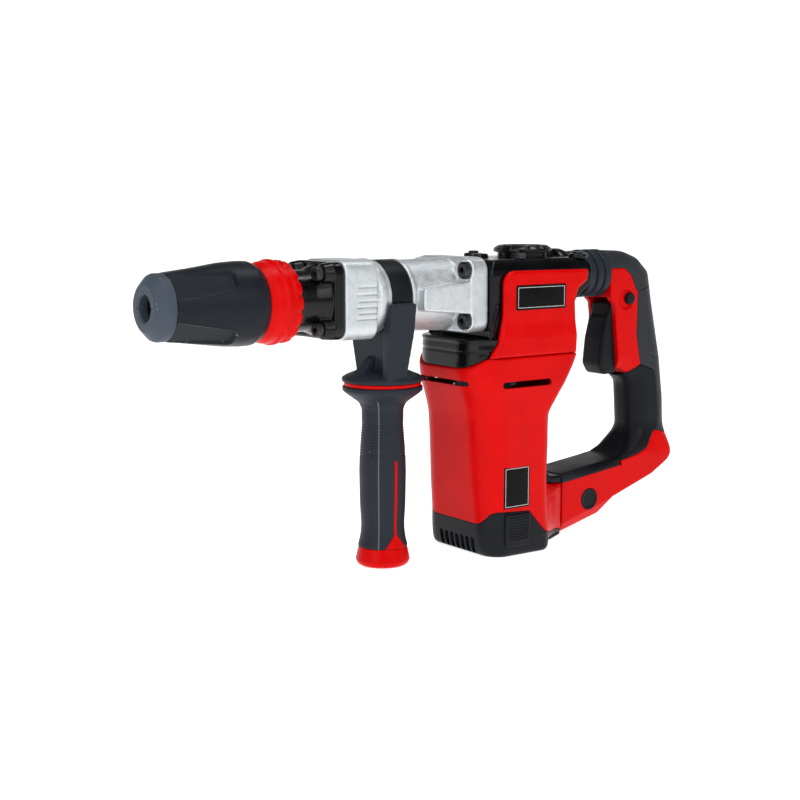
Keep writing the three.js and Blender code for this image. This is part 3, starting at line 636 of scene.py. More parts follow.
def barrel_housing():
    body = plate("barrel_housing_skin", square(31, 11), (BARREL_FRONT, -77.5), "yz", 1.4)
    collar = revolve("collar", [
        (BARREL_FRONT + 2, 0), (BARREL_FRONT + 2, 30.6), (-75, 30.6, 2), (-72.5, 31.1, 1),
        (-69.0, 31.1, 1.2), (-66.8, 30.0, 0.6), (-62.6, 29.6, 0.8), (-62.6, 26),
        (BARREL_REAR, 26), (BARREL_REAR, 0),
    ])
    join(body, collar)
    ribs = []
    for side in (-1, 1):
        for i, height in enumerate(RIB_HEIGHTS):
            start = -97 if i % 2 else -95.5
            face = sorted((side * 30.2, side * 32))
            level = AXIS_Z + height
            outline = oblong((start, -73.5), (level - 0.75, level + 0.75), 0.7)
            ribs.append(plate("groove", outline, face))
    cut(body, *ribs)
    mould(body, 0.55, 3)
    cut(body, rod("bore", (-120, -30), BORE_R, TOOL, "x", 96))
    fit(shade(body, 60), "housing", "silver_casting", SILVER, "barrel_housing")


def gear_housing():
    flange_front = 12
    body = revolve("gear_housing_skin", [
        (GEARCASE_FRONT, 0), (GEARCASE_FRONT, 29.9, 0.7), (GEARCASE_FRONT + 3.4, 29.9, 0.7),
        (GEARCASE_FRONT + 4.4, 28.9, 0.8), (-18, 29.2, 60), (GEARCASE_REAR, 30.5),
        (GEARCASE_REAR, 0),
    ])
    panel = [
        (-37, AXIS_Z - 10.2, 3), (GEARCASE_REAR, AXIS_Z - 16.5), (GEARCASE_REAR, AXIS_Z + 13.5),
        (-37, AXIS_Z + 6.8, 3),
    ]
    wings = plate("wings", panel, (-37.5, 37.5), "xz", 1.3)
    outline = [(-38, AXIS_Z - 30.5, 9), (38, AXIS_Z - 30.5, 9), (38, AXIS_Z + 30.5, 12),
               (-38, AXIS_Z + 30.5, 12)]
    flange = plate("flange", outline, (flange_front - 3, GEARCASE_REAR), "yz", 1.6)
    bosses = [
        revolve("boss", [(4, 0), (4, 7.8, 1), (flange_front, 9.4), (flange_front, 0)],
                (0, y * 0.93, AXIS_Z + z), "x", 40)
        for y, z in HOUSING_SPOTS
    ]
    join(body, wings, flange, *bosses)
    for y, z in HOUSING_SPOTS:
        cone = revolve("channel", [(-40, 0), (-40, 2.0), (flange_front - 2, 7.4, 1.5),
                                   (flange_front - 2, 0)], (0, y * 1.02, AXIS_Z + z), "x", 48)
        cut(body, cone)
    mould(body, 0.6, 4)
    cut(body, rod("bore", (-50, 40), BORE_R, TOOL, "x", 96))
    fit(shade(body, 60), "housing", "silver_casting", SILVER, "gear_housing")


# ---------------------------------------------------------------- side grip
def clamp_strap():
    band = revolve("clamp_strap_skin", [
        (STRAP_X[0], 26.3), (STRAP_X[0], 29.7, 0.7), (STRAP_X[1], 29.7, 0.7), (STRAP_X[1], 26.3),
    ], segments=160)
    cut(band, box("below", (-70, -35), (-40, 40), (150, AXIS_Z - 6)))
    fit(shade(band, 40), "clamp", "black_plastic", BLACK, "clamp_strap")


# angle in degrees, half thickness, top and reach from the axis
FIN_SIZES = [(178, 6.0, 171, 28), (-118, 3.2, 162, 27), (-60, 5.0, 168, 27),
             (0, 5.0, 168, 27), (118, 3.2, 162, 27), (60, 5.0, 168, 27)]
STRAP_X = (-62.2, -43.2)


def clamp_saddle():
    """A stout near pillar, a thinner web beside it that carries the strap, and a finned disc."""
    front, back = -67.5, -43
    foot = AXIS_Z - 66
    seat = AXIS_Z - 3.5
    pillar = plate("clamp_saddle_skin", [
        (-36, seat, 2), (-30, foot), (-21, foot), (-23.5, seat, 2),
    ], (front, back), "yz", 2.4)
    heel = plate("heel", [(-75, 150), (-75, 220), (back, 220), (back, 200), (-50, 150)], (-40, 40))
    common(pillar, heel)
    web = plate("web", [
        (-25, AXIS_Z - 6), (-22, foot), (22, foot), (31, AXIS_Z - 30, 6), (34, seat, 2),
        (22, seat, 2),
    ], (-61.5, back - 1.5), "yz", 1.6)
    disc = revolve("disc", [
        (150.9, 0), (150.9, 33, 0.8), (154.0, 33, 1.2), (156, 30, 2), (160, 20, 3), (160, 0),
    ], SIDE, "z")
    join(pillar, web)
    cut(pillar, rod("room", (-80, STRAP_X[0]), 31.3, TOOL, "x", 96))
    cut(pillar, rod("neck", (-80, -35), 26.3, TOOL, "x", 96))
    seat_gap = revolve("seat gap", [(-63, 26), (-63, 31.3), (-42, 31.3), (-42, 26)], TOOL, "x", 96)
    common(seat_gap, box("above", (-80, -30), THROUGH, (AXIS_Z - 6, 260)))
    cut(pillar, seat_gap)
    fins = []
    for angle, half, top, reach in FIN_SIZES:
        fin = plate("fin", [(4, 152), (reach, 152), (reach - 1, 156.5, 2), (12, top, 4), (4, top)],
                    (-half, half), "xz", 2.0)
        fin.data.transform(Matrix.Translation(Vector((SIDE_X, 0, 0)) * MM)
                           @ Matrix.Rotation(math.radians(angle), 4, "Z"))
        fins.append(fin)
    gather(pillar, disc, *fins)
    mould(pillar, 0.65, 3)
    cut(pillar, rod("bolt room", (149, 192), 4.3, SIDE, "z"))
    fit(shade(pillar, 60), "clamp", "black_plastic", RUBBER, "clamp_saddle")


GRIP_OUTLINE = [
    (147.5, 11.3), (147.5, 32.5, 1.2), (143.9, 32.5, 1.4), (141.5, 29.8, 3), (134.2, 19.8, 5),
    (129, 17.0, 8), (117, 16.9, 60), (96, 18.5, 80), (78, 19.1, 200), (50, 18.6, 200),
    (27, 17.1, 60), (18, 19.8, 8), (15.7, 20.3, 0.5), (15.7, 11.3),
]
STRIPE_TOP = 88
STRIPE_HALF = 1.25
PEAK_Z = 27


def stripe_share(height, angle):
    """1 on the red stripes at the two sides and on their wide feet, 0 elsewhere."""
    share = 0
    for middle in (-math.pi / 2, math.pi / 2):
        turn = (angle - middle + math.pi) % (2 * math.pi) - math.pi
        across = np.abs(turn) * 19
        half = np.interp(height, [15.5, 17, PEAK_Z, STRIPE_TOP], [10.5, 9, STRIPE_HALF, STRIPE_HALF])
        end = np.maximum(height - (STRIPE_TOP - STRIPE_HALF), 0)
        inside = half - np.hypot(across, end)
        share = np.maximum(share, smoothstep(inside, -0.2, 0.2))
    return share


def rib_share(height, angle):
    share = 0
    for middle in (-126, -36, 54, 144):
        turn = (angle - math.radians(middle) + math.pi) % (2 * math.pi) - math.pi
        share = np.maximum(share, smoothstep(math.radians(34) - np.abs(turn), 0, 0.06))
    return share * smoothstep(height, 89.5, 91) * smoothstep(-height, -118.5, -117)


def grip_sleeve():
    def relief(along, radius, angle):
        outer = radius > 15
        ribs = 0.55 * rib_share(along, angle) * (0.5 - 0.5 * np.cos(2 * math.pi * (along - 90) / 2.33))
        groove = 0.35 * np.exp(-(((along - 132.5) / 0.5) ** 2))
        under = 1.3 * stripe_share(along, angle)
        return along, np.where(outer, radius - ribs - groove - under, radius)

    piece = revolve("grip_sleeve_skin", GRIP_OUTLINE, SIDE, "z", 420, 0.4, relief)
    fit(shade(piece, 60), "side_grip", "soft_rubber", RUBBER, "grip_sleeve")


def grip_core():
    ring = revolve("grip_ring_skin", [
        (147.8, 4.4), (147.8, 31.2, 0.5), (150.6, 31.2, 0.5), (150.6, 4.4),
    ], SIDE, "z", 160)
    fit(shade(ring, 40), "side_grip", "red_plastic", RED)
    cap = revolve("grip_cap_skin", [
        (0, 0), (0, 18.5, 1), (1.6, 20.9, 1.5), (4.6, 22.3, 1.6), (15.4, 19.9, 0.5), (15.4, 0),
    ], SIDE, "z", 200)
    fit(shade(cap, 45), "side_grip", "red_plastic", RED, "grip_core")

    def stripe_relief(along, radius, angle):
        share = stripe_share(along, angle)
        return along, np.where(radius > 15, radius - 2.2 * (1 - share) + 0.12, radius - 1.5)

    lower = [c for c in GRIP_OUTLINE if c[0] < 97]
    stripe = revolve("grip_stripe_skin", [(92, 12), (92, 18.7), *lower[1:-1], (15.7, 12)],
                     SIDE, "z", 640, 0.45, stripe_relief)
    fit(shade(stripe, 60), "side_grip", "red_plastic", RED)


# ---------------------------------------------------------------- crankcase and covers
HOUSING_SECTIONS = [
    (29.9, 23.8, 93.2, 45.6, 20, 11), (60, 21, 91.8, 45.6, 22, 11), (90, 19.2, 92.2, 46, 24, 11),
    (115, 17.5, 92.8, 46.4, 25, 12), (130, 14, 100, 47, 26, 10),
    (146, 9.5, 109.5, SHELL_HALF, 27, 8), (158, 8, 116.5, SHELL_HALF, 27, 8),
    (SEAM_Z, 8, 120.5, SHELL_HALF, 27, 8),
]
COVER_SPOTS = [(66.6, -31), (131, -31), (131, 31), (66.6, 31)]


def section(z, front, rear, half, front_r, rear_r, shrink=0.0):
    corners = [(front + shrink, -half + shrink, front_r), (rear - shrink, -half + shrink, rear_r),
               (rear - shrink, half - shrink, rear_r), (front + shrink, half - shrink, front_r)]
    return [(p.x, p.y, z) for p in rounded(corners, 12)]


def eased_sections(rows, spacing, shrink=0.0):
    """Sections at even heights on smooth curves through the rows."""
    rows = np.array(rows, float)
    heights = np.arange(rows[0, 0], rows[-1, 0], spacing)
    heights = np.append(heights, rows[-1, 0])
    climb = np.diff(rows, axis=0) / np.diff(rows[:, :1], axis=0)
    slopes = np.vstack([climb[:1], climb[1:], climb[-1:]])
    before, after = climb[:-1], climb[1:]
    even = 2 * before * after / np.where(before + after == 0, 1, before + after)
    slopes[1:-1] = np.where(before * after > 0, even, 0)
    result = []
    for z in heights:
        i = min(np.searchsorted(rows[:, 0], z, side="right") - 1, len(rows) - 2)
        step = rows[i + 1, 0] - rows[i, 0]
        t = (z - rows[i, 0]) / step
        value = (
            (2 * t**3 - 3 * t**2 + 1) * rows[i]
            + (t**3 - 2 * t**2 + t) * step * slopes[i]
            + (3 * t**2 - 2 * t**3) * rows[i + 1]
            + (t**3 - t**2) * step * slopes[i + 1]
        )
        result.append(section(z, *value[1:], shrink))
    return result


def crankcase():
    front = 27.4
    profile = [(front, CASE_FLOOR), (119, CASE_FLOOR), (119, 212, 6), (138, 226, 8), (138, 247, 9),
               (34, 247, 6), (front, 238, 6)]
    body = plate("crankcase_skin", profile, (-CASE_HALF, CASE_HALF))
    common(body, plate("roof", [(-CASE_HALF, 130, 5), (CASE_HALF, 130, 5), (CASE_HALF, CASE_ROOF, 14),
                                (-CASE_HALF, CASE_ROOF, 14)], (front - 5, 145), "yz"))
    levels = [(CASE_FLOOR, 0), (171.0, 0), (171.6, 0.8), (172.6, 0.8), (173.2, 0), (179.6, 0.4),
              (180.4, -0.4), (182.2, -0.4), (183.2, 1.6), (184.0, 9)]
    collar = skin("collar", [
        section(z, COLLAR_FRONT + depth, 100, COLLAR_HALF - depth, 28, 5) for z, depth in levels
    ])
    hump = rod("hump", (126, 137), 22.8, BELLOWS, "x", 96, 2.5)
    neck = rod("neck", (130, low("bellows", "x") - 0.3), 20.3, BELLOWS, "x", 96, 0.8)
    rail = [(27, -40.6, 182), (28.5, -41.2, 190), (31, -41.6, 200), (34.5, -41.6, 210)]
    rails = [sweep("rail", rail, 1.1), sweep("rail", [(x, -y, z) for x, y, z in rail], 1.1)]
    boss = plate("boss", oblong((43, 55), (-5, 5), 3), (240, 250.8), "xy", 1.2)
    join(body, collar, hump, neck, boss, *rails)
    shell = skin("inside", [section(z + 1, f, r, h, fr, rr, 3.3) for z, f, r, h, fr, rr in
                            HOUSING_SECTIONS])
    around = cut(box("around", (0, 130), THROUGH, (150, SEAM_Z + 0.3)), shell)
    cut(around, plate("open rim", inset(RIM, GAP), (-70, 70)))
    cover_rooms = [plate("cover room", inset(SIDE_COVER, -0.4), span)
                   for span in ((-60, -CASE_HALF), (CASE_HALF, 60))]
    cut(body, around, *cover_rooms)
    mould(body, 0.8, 3)
    cut(body,
        box("cavity", (33, 115.5), (-33, 33), (170, 241)),
        rod("mouth", (15, 34), BORE_R, TOOL, "x"),
        rod("lid", (240, 260), SPIGOT_R, CAP, "z", 96),
        rod("bearing", (150, 175), 13.3, MOTOR, "z"),
        rod("crank", (161.5, 175), 6.3, (CRANK_X, 0, 0), "z"))
    fit(shade(body, 60), "housing", "black_casting", CASTING, "crankcase")


def top_cover():
    deck = plate("top_cover_skin", [
        (58, -27, 12), (64, -34, 8), (134, -34, 10), (134, 34, 10), (64, 34, 8), (58, 27, 12),
    ], (246.6, 250.2), "xy", 2.2)
    lobes = [rod("lobe", (245.5, 250.0), 8.4, (x, y, 0), "z", 48, 1.6) for x, y in COVER_SPOTS]
    rim = revolve("rim", [(247, 20), (247, 30, 1), (251.2, 27.6, 1.2), (251.2, 20)],
                  CAP, "z")
    join(deck, rim, *lobes)
    mould(deck, 0.55, 4)
    rooms = [rod("screw room", (248.4, 260), 5.0, (x, y, 0), "z", 48) for x, y in COVER_SPOTS]
    cut(deck, rod("lid", (240, 260), SPIGOT_R, CAP, "z", 96), *rooms)
    fit(shade(deck, 60), "housing", "black_casting", CASTING, "top_cover")


def grease_cap():
    top = high("grease_cap", "z")
    profile = [
        (top - 14, 0), (top - 14, 21.6), (top - 6.0, 21.6), (top - 5.6, 25.0, 0.6),
        (top - 3.0, 25.0, 1.2), (top - 1.4, 22.8, 1.0), (top, 20.6, 1.2), (top, 18.4, 0.8),
        (top - 1.8, 17.0, 0.8), (top - 2.0, 8.5, 1), (top - 0.9, 7.2, 0.8), (top - 0.9, 0),
    ]

    def notches(along, radius, angle):
        wave = smoothstep(np.cos(12 * angle), 0.45, 0.75)
        rim = smoothstep(radius, 18.8, 20.2) * smoothstep(along, top - 3.4, top - 1.2)
        return along - 1.1 * wave * rim, radius

    piece = revolve("grease_cap_skin", profile, CAP, "z", 300, 0.6, notches)
    holes = [rod("hole", (top - 5, top + 2), 2.4,
                 (CAP_X + 12.6 * math.cos(a), 12.6 * math.sin(a), 0), "z", 32)
             for a in (0, 2 * math.pi / 3, 4 * math.pi / 3)]
    cut(piece, *holes)
    fit(shade(piece, 40), "grease_lid", "black_casting", CASTING, "grease_cap")


SIDE_COVER = [
    (22.8, SEAM_Z + GAP, 0.4), (116.5, SEAM_Z + GAP, 0.4), (117.3, 182, 6), (115.5, 212, 8),
    (119.5, 221.5, 5), (129, 227.5, 3), (130.5, 237.4, 2), (38, 238.3, 11), (37.5, 200, 30),
    (32, 179.5, 12),
]
BADGE_X = (49.5, 103.5)
BADGE_Z = (205.8, 226.2)


def side_cover():
    piece = plate("side_cover_left_skin", SIDE_COVER, (-SHELL_HALF, -CASE_HALF - 0.3), "xz", 2.6,
                  8, 6)
    mould(piece, 0.7, 2)

    def sink(co):
        co[:, 1] += 1.5 * smoothstep(co[:, 2], 181, 197) * smoothstep(-co[:, 1], 42.5, 45.5)

    fit_pair(moved_points(piece, sink), "red_plastic", RED, "side_cover_left")


def framed_plate(name, span_x, span_z, face, radius, line):
    """A blank gloss plate with a thin pale line inside its edge, on both sides of the hammer."""
    corners = oblong(span_x, span_z, radius)
    blank = plate(f"{name}_left", corners, (-face - 0.55, -face + 1.2), "xz", 0.35)
    frame_line = plate(f"{name}_line_left", inset(corners, line), (-face - 0.66, -face - 0.2))
    cut(frame_line, plate("middle", inset(corners, line + 0.5), (-face - 2, -face + 2)))
    for piece, slot, material in ((blank, "black_plastic", GLOSS),
                                  (frame_line, "silver_casting", LINE)):
        fit_pair(shade(piece, 40), slot, material)


# ---------------------------------------------------------------- motor housing and base
STUB = [(80, 22), (92, 17), (124, 10.6), (124, 49.8), (108, 51, 6), (98, 58, 8), (84, 74)]
TONGUE = [(118, 22), (166, 22, 9), (166, 42, 9), (118, 42)]
RIM = [(-5, 158.3), (10, 158.3, 6), (22.6, SEAM_Z), (22.6, 180), (-5, 180)]
BASE_SECTIONS = [
    (0, 30.5, 91.5, 43.8, 15, 9), (1.2, 28.6, 93, 45.2, 16, 10), (4, 27.2, 94, 46.0, 17, 11),
    (9, 26.0, 94.4, 46.2, 18, 11), (20, 24.6, 94.2, 46.0, 19, 11),
]
BASE_LINE = [
    (-10, 25.2), (16, 25.2), (23.5, 26.6, 6), (29.5, 37.4, 4.5), (34.5, 38.8, 3), (66.8, 37.0, 3),
    (83.5, 18.2, 7), (91, 14.6, 5), (110, 12.4), (126, 9.6), (126, -8), (-10, -8),
]


def neck():
    """The sides of the housing drawn in towards the stub."""
    levels = []
    for z, half, end in ((8, 41, 123.9), (20, 43, 123.9), (40, 43, 123.9), (46, 41, 123.9),
                         (52, 37, 104), (60, 32, 96), (66, 28, 92)):
        side = [(70, half), (93, half - 1, 6), (112, ARM_HALF + 5, 20), (124, ARM_HALF - 0.4)]
        outline = rounded(side + [(c[0], -c[1], *c[2:]) for c in reversed(side)])
        levels.append([(min(p.x, end), p.y, z) for p in outline])
    return skin("neck", levels)


def housing_block(shrink=0.0):
    rows = BASE_SECTIONS + HOUSING_SECTIONS
    lowest = 3 if shrink else 0
    return skin("housing block", eased_sections([r for r in rows if r[0] >= lowest], 2.0, shrink))


def motor_housing():
    body = housing_block()
    body.name = "motor_housing_skin"
    stub = plate("stub", STUB, (-ARM_HALF, ARM_HALF), "xz", 2.0)
    tail = plate("tail", [(80, 0.8), (112, 0.8, 3), (124, 4.6), (124, 14), (80, 34)],
                 (-ARM_HALF + 0.5, ARM_HALF - 0.5), "xz", 1.6)
    join(body, stub, tail, neck())
    lid = skin("lid", [section(z, 5, 125, SHELL_HALF + 3, 27, 8) for z in (SEAM_Z, 190)])
    cut(body, lid)
    base = copy(body, "base_cap_skin")
    cut(body, plate("rim", RIM, THROUGH))
    mould(body, 0.9, 5)
    inner = housing_block(2.6)
    top_inner = skin("top", [section(z, 8, 120.5, SHELL_HALF, 27, 8, 2.6) for z in (164, 180)])
    join(inner, top_inner)
    cut(body, copy(inner, "inner copy"), plate("below", inset(BASE_LINE, -GAP), THROUGH))
    cut(body, plate("side slots", oblong((35.5, 88.5), (142, 147.6), 2.7), THROUGH),
        plate("front slot", oblong((-32, 32), (144, 148.6), 2.2), (-5, 24), "yz"))
    tongue = plate("tongue", TONGUE, (-11.8, 11.8))
    join(body, tongue)
    cut(body, rod("pivot", (-20, 20), PIN_R, PIVOT, "y"))
    fit(shade(body, 45), "housing", "red_plastic", RED, "motor_housing")

    common(base, plate("base part", BASE_LINE, THROUGH))
    mould(base, 0.8, 3)
    cut(base, inner)
    vents = [plate("vent", [(y - 2.3, 1.4, 1), (y + 2.3, 1.4, 1), (y + 2.3, 15, 2.2),
                            (y - 2.3, 15, 2.2)], (10, 36), "yz") for y in range(-21, 22, 7)]
    cut(base, *vents)
    seat = revolve("seat", [(1, 0), (1, 12.5), (13, 12.5), (13, 9.9), (5.7, 9.9), (5.7, 0)],
                   MOTOR, "z")
    join(base, seat)
    fit(shade(base, 45), "housing", "black_plastic", BLACK, "base_cap")


def brush_covers():
    face = high("brush_cover_right", "y")
    corners = [(39.6, 8.6, 3.5), (66.0, 8.6, 3.5), (66.6, 35.8, 1.5), (40.4, 36.4, 1.5)]
    piece = plate("brush_cover_left_skin", corners, (-face, -43), "xz", 1.2)
    grooves = []
    for i in range(9):
        z = 14.6 + 2.3 * i
        grooves.append(plate("groove", oblong((43, 64.5), (z, z + 1.1), 0.4),
                             (-face - 1, -face + 0.8)))
    cut(piece, *grooves)
    fit_pair(shade(piece, 35), "black_plastic", BLACK, "brush_cover_left")


# ---------------------------------------------------------------- rear handle
HANDLE = [
    (HANDLE_FRONT, 208), (188.5, 203, 3), (195.5, 141.5, 3), (205.5, 137, 4), (213.5, 130, 8),
    (216.5, 88, 15), (206, 71.5, 6), (196, 65.8, 5), (124.9, 56.7), (124.9, 3.9),
    (173.5, 15.5, 4), (187, 29.5, 5), (236, 45.5, 22), (262, 60, 16), (261, 84, 20),
    (259.5, 115, 60), (254, 153, 60), (242.5, 204, 60), (237, 232, 12), (223.5, 244, 14),
    (208, 249.5, 30), (HANDLE_FRONT, 250.6),
]
TOP_REGION = [
    (HANDLE_FRONT - 5, 235), (200, 234.8, 6), (208.5, 228.3, 6), (213.8, 217, 4),
    (217, 213.5, 2), (255, 225.5), (255, 262), (HANDLE_FRONT - 5, 262),
]
REAR_REGION = [
    (217, 213.5), (216.5, 174, 10), (222, 147.5, 3), (240, 141, 6), (246, 98, 4), (243, 86, 1),
    (275, 76), (275, 232),
]
LOWER_REGION = [
    (186, 60.5), (217, 66.5, 5), (228.5, 71, 5), (238, 84.5, 3), (243, 86), (246, 98),
    (240, 141), (222, 147.5, 3), (212.5, 142.7, 8), (203, 136, 4), (191, 133),
]
TRIGGER_POCKET = [(172, 137), (208.5, 137), (207, 206), (178, 210)]


def region(corners, grow=0.0):
    return plate("region", inset(corners, -grow) if grow else corners, THROUGH)


def handle_block():
    """The outer form of the handle: a wide arm below, an oval grip behind and above."""
    block = plate("block", HANDLE, (-ARM_HALF, ARM_HALF))
    mould(block, 1.1, 0)

    def roll_edges(co):
        outline = [np.array(p) for p in rounded(HANDLE)]
        reach = np.full(len(co), 1e3)
        for a, b in zip(outline, outline[1:] + outline[:1]):
            x, z = (a + b) / 2
            crisp = x < 125.5 or (x < 200 and 68 < z < 249)
            length = np.dot(b - a, b - a)
            if crisp or length < 1e-9:
                continue
            flat = co[:, [0, 2]] - a
            along = np.clip(flat @ (b - a) / length, 0, 1)
            reach = np.minimum(reach, np.linalg.norm(flat - along[:, None] * (b - a), axis=1))
        radius = 3 + 13 * smoothstep(co[:, 2], 58, 92)
        half = ARM_HALF - (ARM_HALF - GRIP_HALF) * smoothstep(co[:, 2], 62, 96)
        dip = radius - np.minimum(reach, radius)
        bevel = np.clip(13.8 + 0.27 * (co[:, 0] - 125) - co[:, 2], 0, None) * 0.55
        bevel *= 1 - smoothstep(co[:, 0], 182, 200)
        co[:, 1] *= (half - bevel - radius + np.sqrt(radius**2 - dip**2)) / ARM_HALF

    return moved_points(block, roll_edges)


def grooves_along(path, radius):
    """Round-bottomed lines along the same path on both sides."""
    return [sweep("line", [(x, side * y, z) for x, y, z in path], radius, 8) for side in (-1, 1)]


REAR_LINE = [(227.2, 18.2, 209), (227.8, 18.2, 200), (230.2, 18.2, 172), (232.2, 18.2, 159.5),
             (234.5, 18.1, 156), (240.5, 17.6, 153.6), (248, 14.5, 152)]
GRIP_LINE = [(216.3, 17.5, 133.5), (217.4, 17.2, 124), (218.6, 16.9, 100), (218.2, 17.4, 90),
             (214.5, 18.6, 80.5), (207.5, 20.8, 72.5), (201, 22.3, 67)]


def handle_parts():
    block = handle_block()
    core_room = plate("core room", inset(HANDLE, CORE_DEPTH - GAP),
                      (-CORE_HALF - GAP, CORE_HALF + GAP))

    top = common(copy(block, "grip_top_skin"), region(TOP_REGION))
    rear = common(copy(block, "grip_rear_skin"), region(REAR_REGION))
    cut(rear, region(TOP_REGION, GAP))
    lower = common(copy(block, "grip_lower_skin"), region(LOWER_REGION))
    cut(lower, region(REAR_REGION, GAP), region(TOP_REGION, GAP))
    cut(rear, *grooves_along(REAR_LINE, 0.8))
    cut(lower, *grooves_along(GRIP_LINE, 0.7))
    cut(top, rod("spring room", (170, 194), 13.2, BELLOWS, "x"))
    for piece in (top, rear, lower):
        mould(piece, 0.55, 2)
        cut(piece, copy(core_room, "room"))
        shade(piece, 60)
    fit(top, "handle", "grey_rubber", GREY, "grip_top")
    fit(rear, "handle", "grey_rubber", GREY, "grip_rear")
    fit(lower, "handle", "soft_rubber", GRIP_BLACK, "grip_lower")
    bpy.data.objects.remove(core_room)

    red = block
    red.name = "handle_shells"
    cut(red, region(TOP_REGION, GAP), region(REAR_REGION, GAP), region(LOWER_REGION, GAP))
    dish = revolve("dish", [(-20, 0), (-20, 9.8), (-16.4, 8.2, 1), (-16.4, 0)],
                   (BUTTON_X - 4.2, 0, BUTTON_Z - 0.6), "y", 64)
    cut(red, dish)
    mould(red, 0.7, 2)
    core = plate("core", inset(HANDLE, CORE_DEPTH), (-CORE_HALF, CORE_HALF))
    join(red, core)
    cut(red,
        plate("pocket", TRIGGER_POCKET, (-13.3, 13.3)),
        box("switch room", (204, 233), (-11.4, 11.4), (147.5, 196.5)),
        box("tongue room", (120, 169), (-12.4, 12.4), (18, 46)),
        plate("pad room", [(120, 49.1), (196.5, 58.4), (194.5, 66.5), (194.5, 75), (120, 75)],
              (-40, 40)),
        rod("pin room", (-40, 40), PIN_R, PIVOT, "y"),
        rod("cap room", (-40, -ARM_HALF + 3), CAP_ROOM_R, PIVOT, "y", 96),
        rod("cap room", (ARM_HALF - 3, 40), CAP_ROOM_R, PIVOT, "y", 96),
        rod("button room", (-40, -6), 5.4, BUTTON, "y"),
        box("spring room", (175, 194), (-12, 12), (214, 246)))
    right = copy(red, "handle_right_skin")
    cut(red, box("right half", (100, 300), (-0.1, 80), (-20, 300)))
    cut(right, box("left half", (100, 300), (-80, 0.1), (-20, 300)))
    red.name = "handle_left_skin"
    fit(shade(red, 45), "handle", "red_plastic", RED, "handle_left")
    fit(shade(right, 45), "handle", "red_plastic", RED, "handle_right")


def pads():
    pad = plate("arm_pad_skin", [(118, 30), (204, 40), (194.2, 65.6, 2), (118, 56.6)],
                (-ARM_HALF, ARM_HALF), "xz", 6, 6, 8)
    common(pad, plate("above", [(125.2, 50.0), (230, 62.9), (230, 90), (125.2, 90)], (-40, 40)))
    fit(shade(pad, 40), "handle", "soft_rubber", GRIP_BLACK, "arm_pad")
    end = plate("stub_pad", [(99, 64.5, 2.5), (99, 57, 3), (106, 51.5, 6), (123.7, 50.0, 0.5),
                             (123.7, 56.9, 0.8), (112, 57.4, 8), (104.8, 64.0, 2.5)],
                (-ARM_HALF, ARM_HALF), "xz", 2.2)
    fit(shade(end, 40), "housing", "soft_rubber", GRIP_BLACK)


def trigger():
    profile = [
        (182.5, 139.8, 5), (197, 140.5, 2), (199, 203, 4), (192.5, 206.3, 4), (188.6, 203, 2.5),
        (186.4, 193.2, 2), (184.2, 191, 2.2), (179.2, 172, 20), (176.6, 149, 8),
    ]
    piece = plate("trigger_skin", profile, (-13, 13), "xz", 4.0, 8, 8)
    fit(shade(piece, 45), "trigger_lever", "black_plastic", BLACK, "trigger")


def lock_button():
    piece = revolve("lock_button_skin", [
        (low("lock_button", "y"), 0), (low("lock_button", "y") + 0.2, 3.8, 1.5),
        (low("lock_button", "y") + 1, 5.0, 0.8), (high("lock_button", "y"), 5.0),
        (high("lock_button", "y"), 0),
    ], BUTTON, "y", 64)
    fit(shade(piece, 40), "lock_on", "black_plastic", BLACK, "lock_button")


def pivot_caps():
    face = ARM_HALF + 0.4
    profile = [(-face + 0.5, 0), (-face + 0.5, 6.5, 2), (-face, 8.0, 0.4), (-face, 9.4, 0.5),
               (-ARM_HALF + 2.6, 9.4), (-ARM_HALF + 2.6, 5), (0, 5), (0, 0)]
    piece = revolve("pivot_cap_left", profile, PIVOT, "y", 96)
    shade(piece, 40)
    other = mirrored(piece, "pivot_cap_right")
    fit(piece, "handle", "bright_steel", GRIP_BLACK, "pivot_pin")
    fit(other, "handle", "bright_steel", GRIP_BLACK)


def bellows():
    start, end = low("bellows", "x"), high("bellows", "x")
    folds = 3
    pitch = (end - start) / folds
    profile = [(start, 14.5), (start, 18.5, 0.5)]
    for i in range(folds):
        profile += [(start + pitch * (i + 0.16), 21, 1.6), (start + pitch * (i + 0.84), 21, 1.6)]
        if i + 1 < folds:
            profile.append((start + pitch * (i + 1), 17.6, 0.6))
    profile += [(end, 18.5, 0.5), (end, 14.5)]
    piece = revolve("bellows_skin", profile, BELLOWS, "x", 128, 0.8)
    shade(piece, 50)
    piece.data.materials.append(RUBBER)
    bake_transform(piece)
    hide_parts("bellows")


# ---------------------------------------------------------------- what stays of the CAD
def carried_over():
    looks = {
        "tool_holder": DARK_STEEL, "locking_pin": STEEL, "sleeve_spring": DARK_STEEL,
        "cylinder_tube": STEEL, "connecting_rod": STEEL, "piston": STEEL, "striker": STEEL,
        "impact_bolt": STEEL, "stator": COPPER, "armature": STEEL, "upper_bearing": STEEL,
        "lower_bearing": STEEL, "brush_left": CARBON, "brush_right": CARBON,
        "crank_gear": STEEL, "switch_module": BLACK, "damping_spring": DARK_STEEL,
        "clamp_bolt": STEEL, "cord_gland": GRIP_BLACK,
    }
    for name, material in looks.items():
        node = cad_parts[name]
        node.data.materials.clear()
        node.data.materials.append(material)


# ---------------------------------------------------------------- camera, light and floor
CAMERA_SPOT = (-0.746, -0.980, 0.304)
CAMERA_TURN = math.radians(36)
CAMERA_TILT = math.radians(8)
CAMERA_LENS = 67.5
AIM = (0, 0, 0.15)  # where the soft lights point
FLOOR_REACH = 12


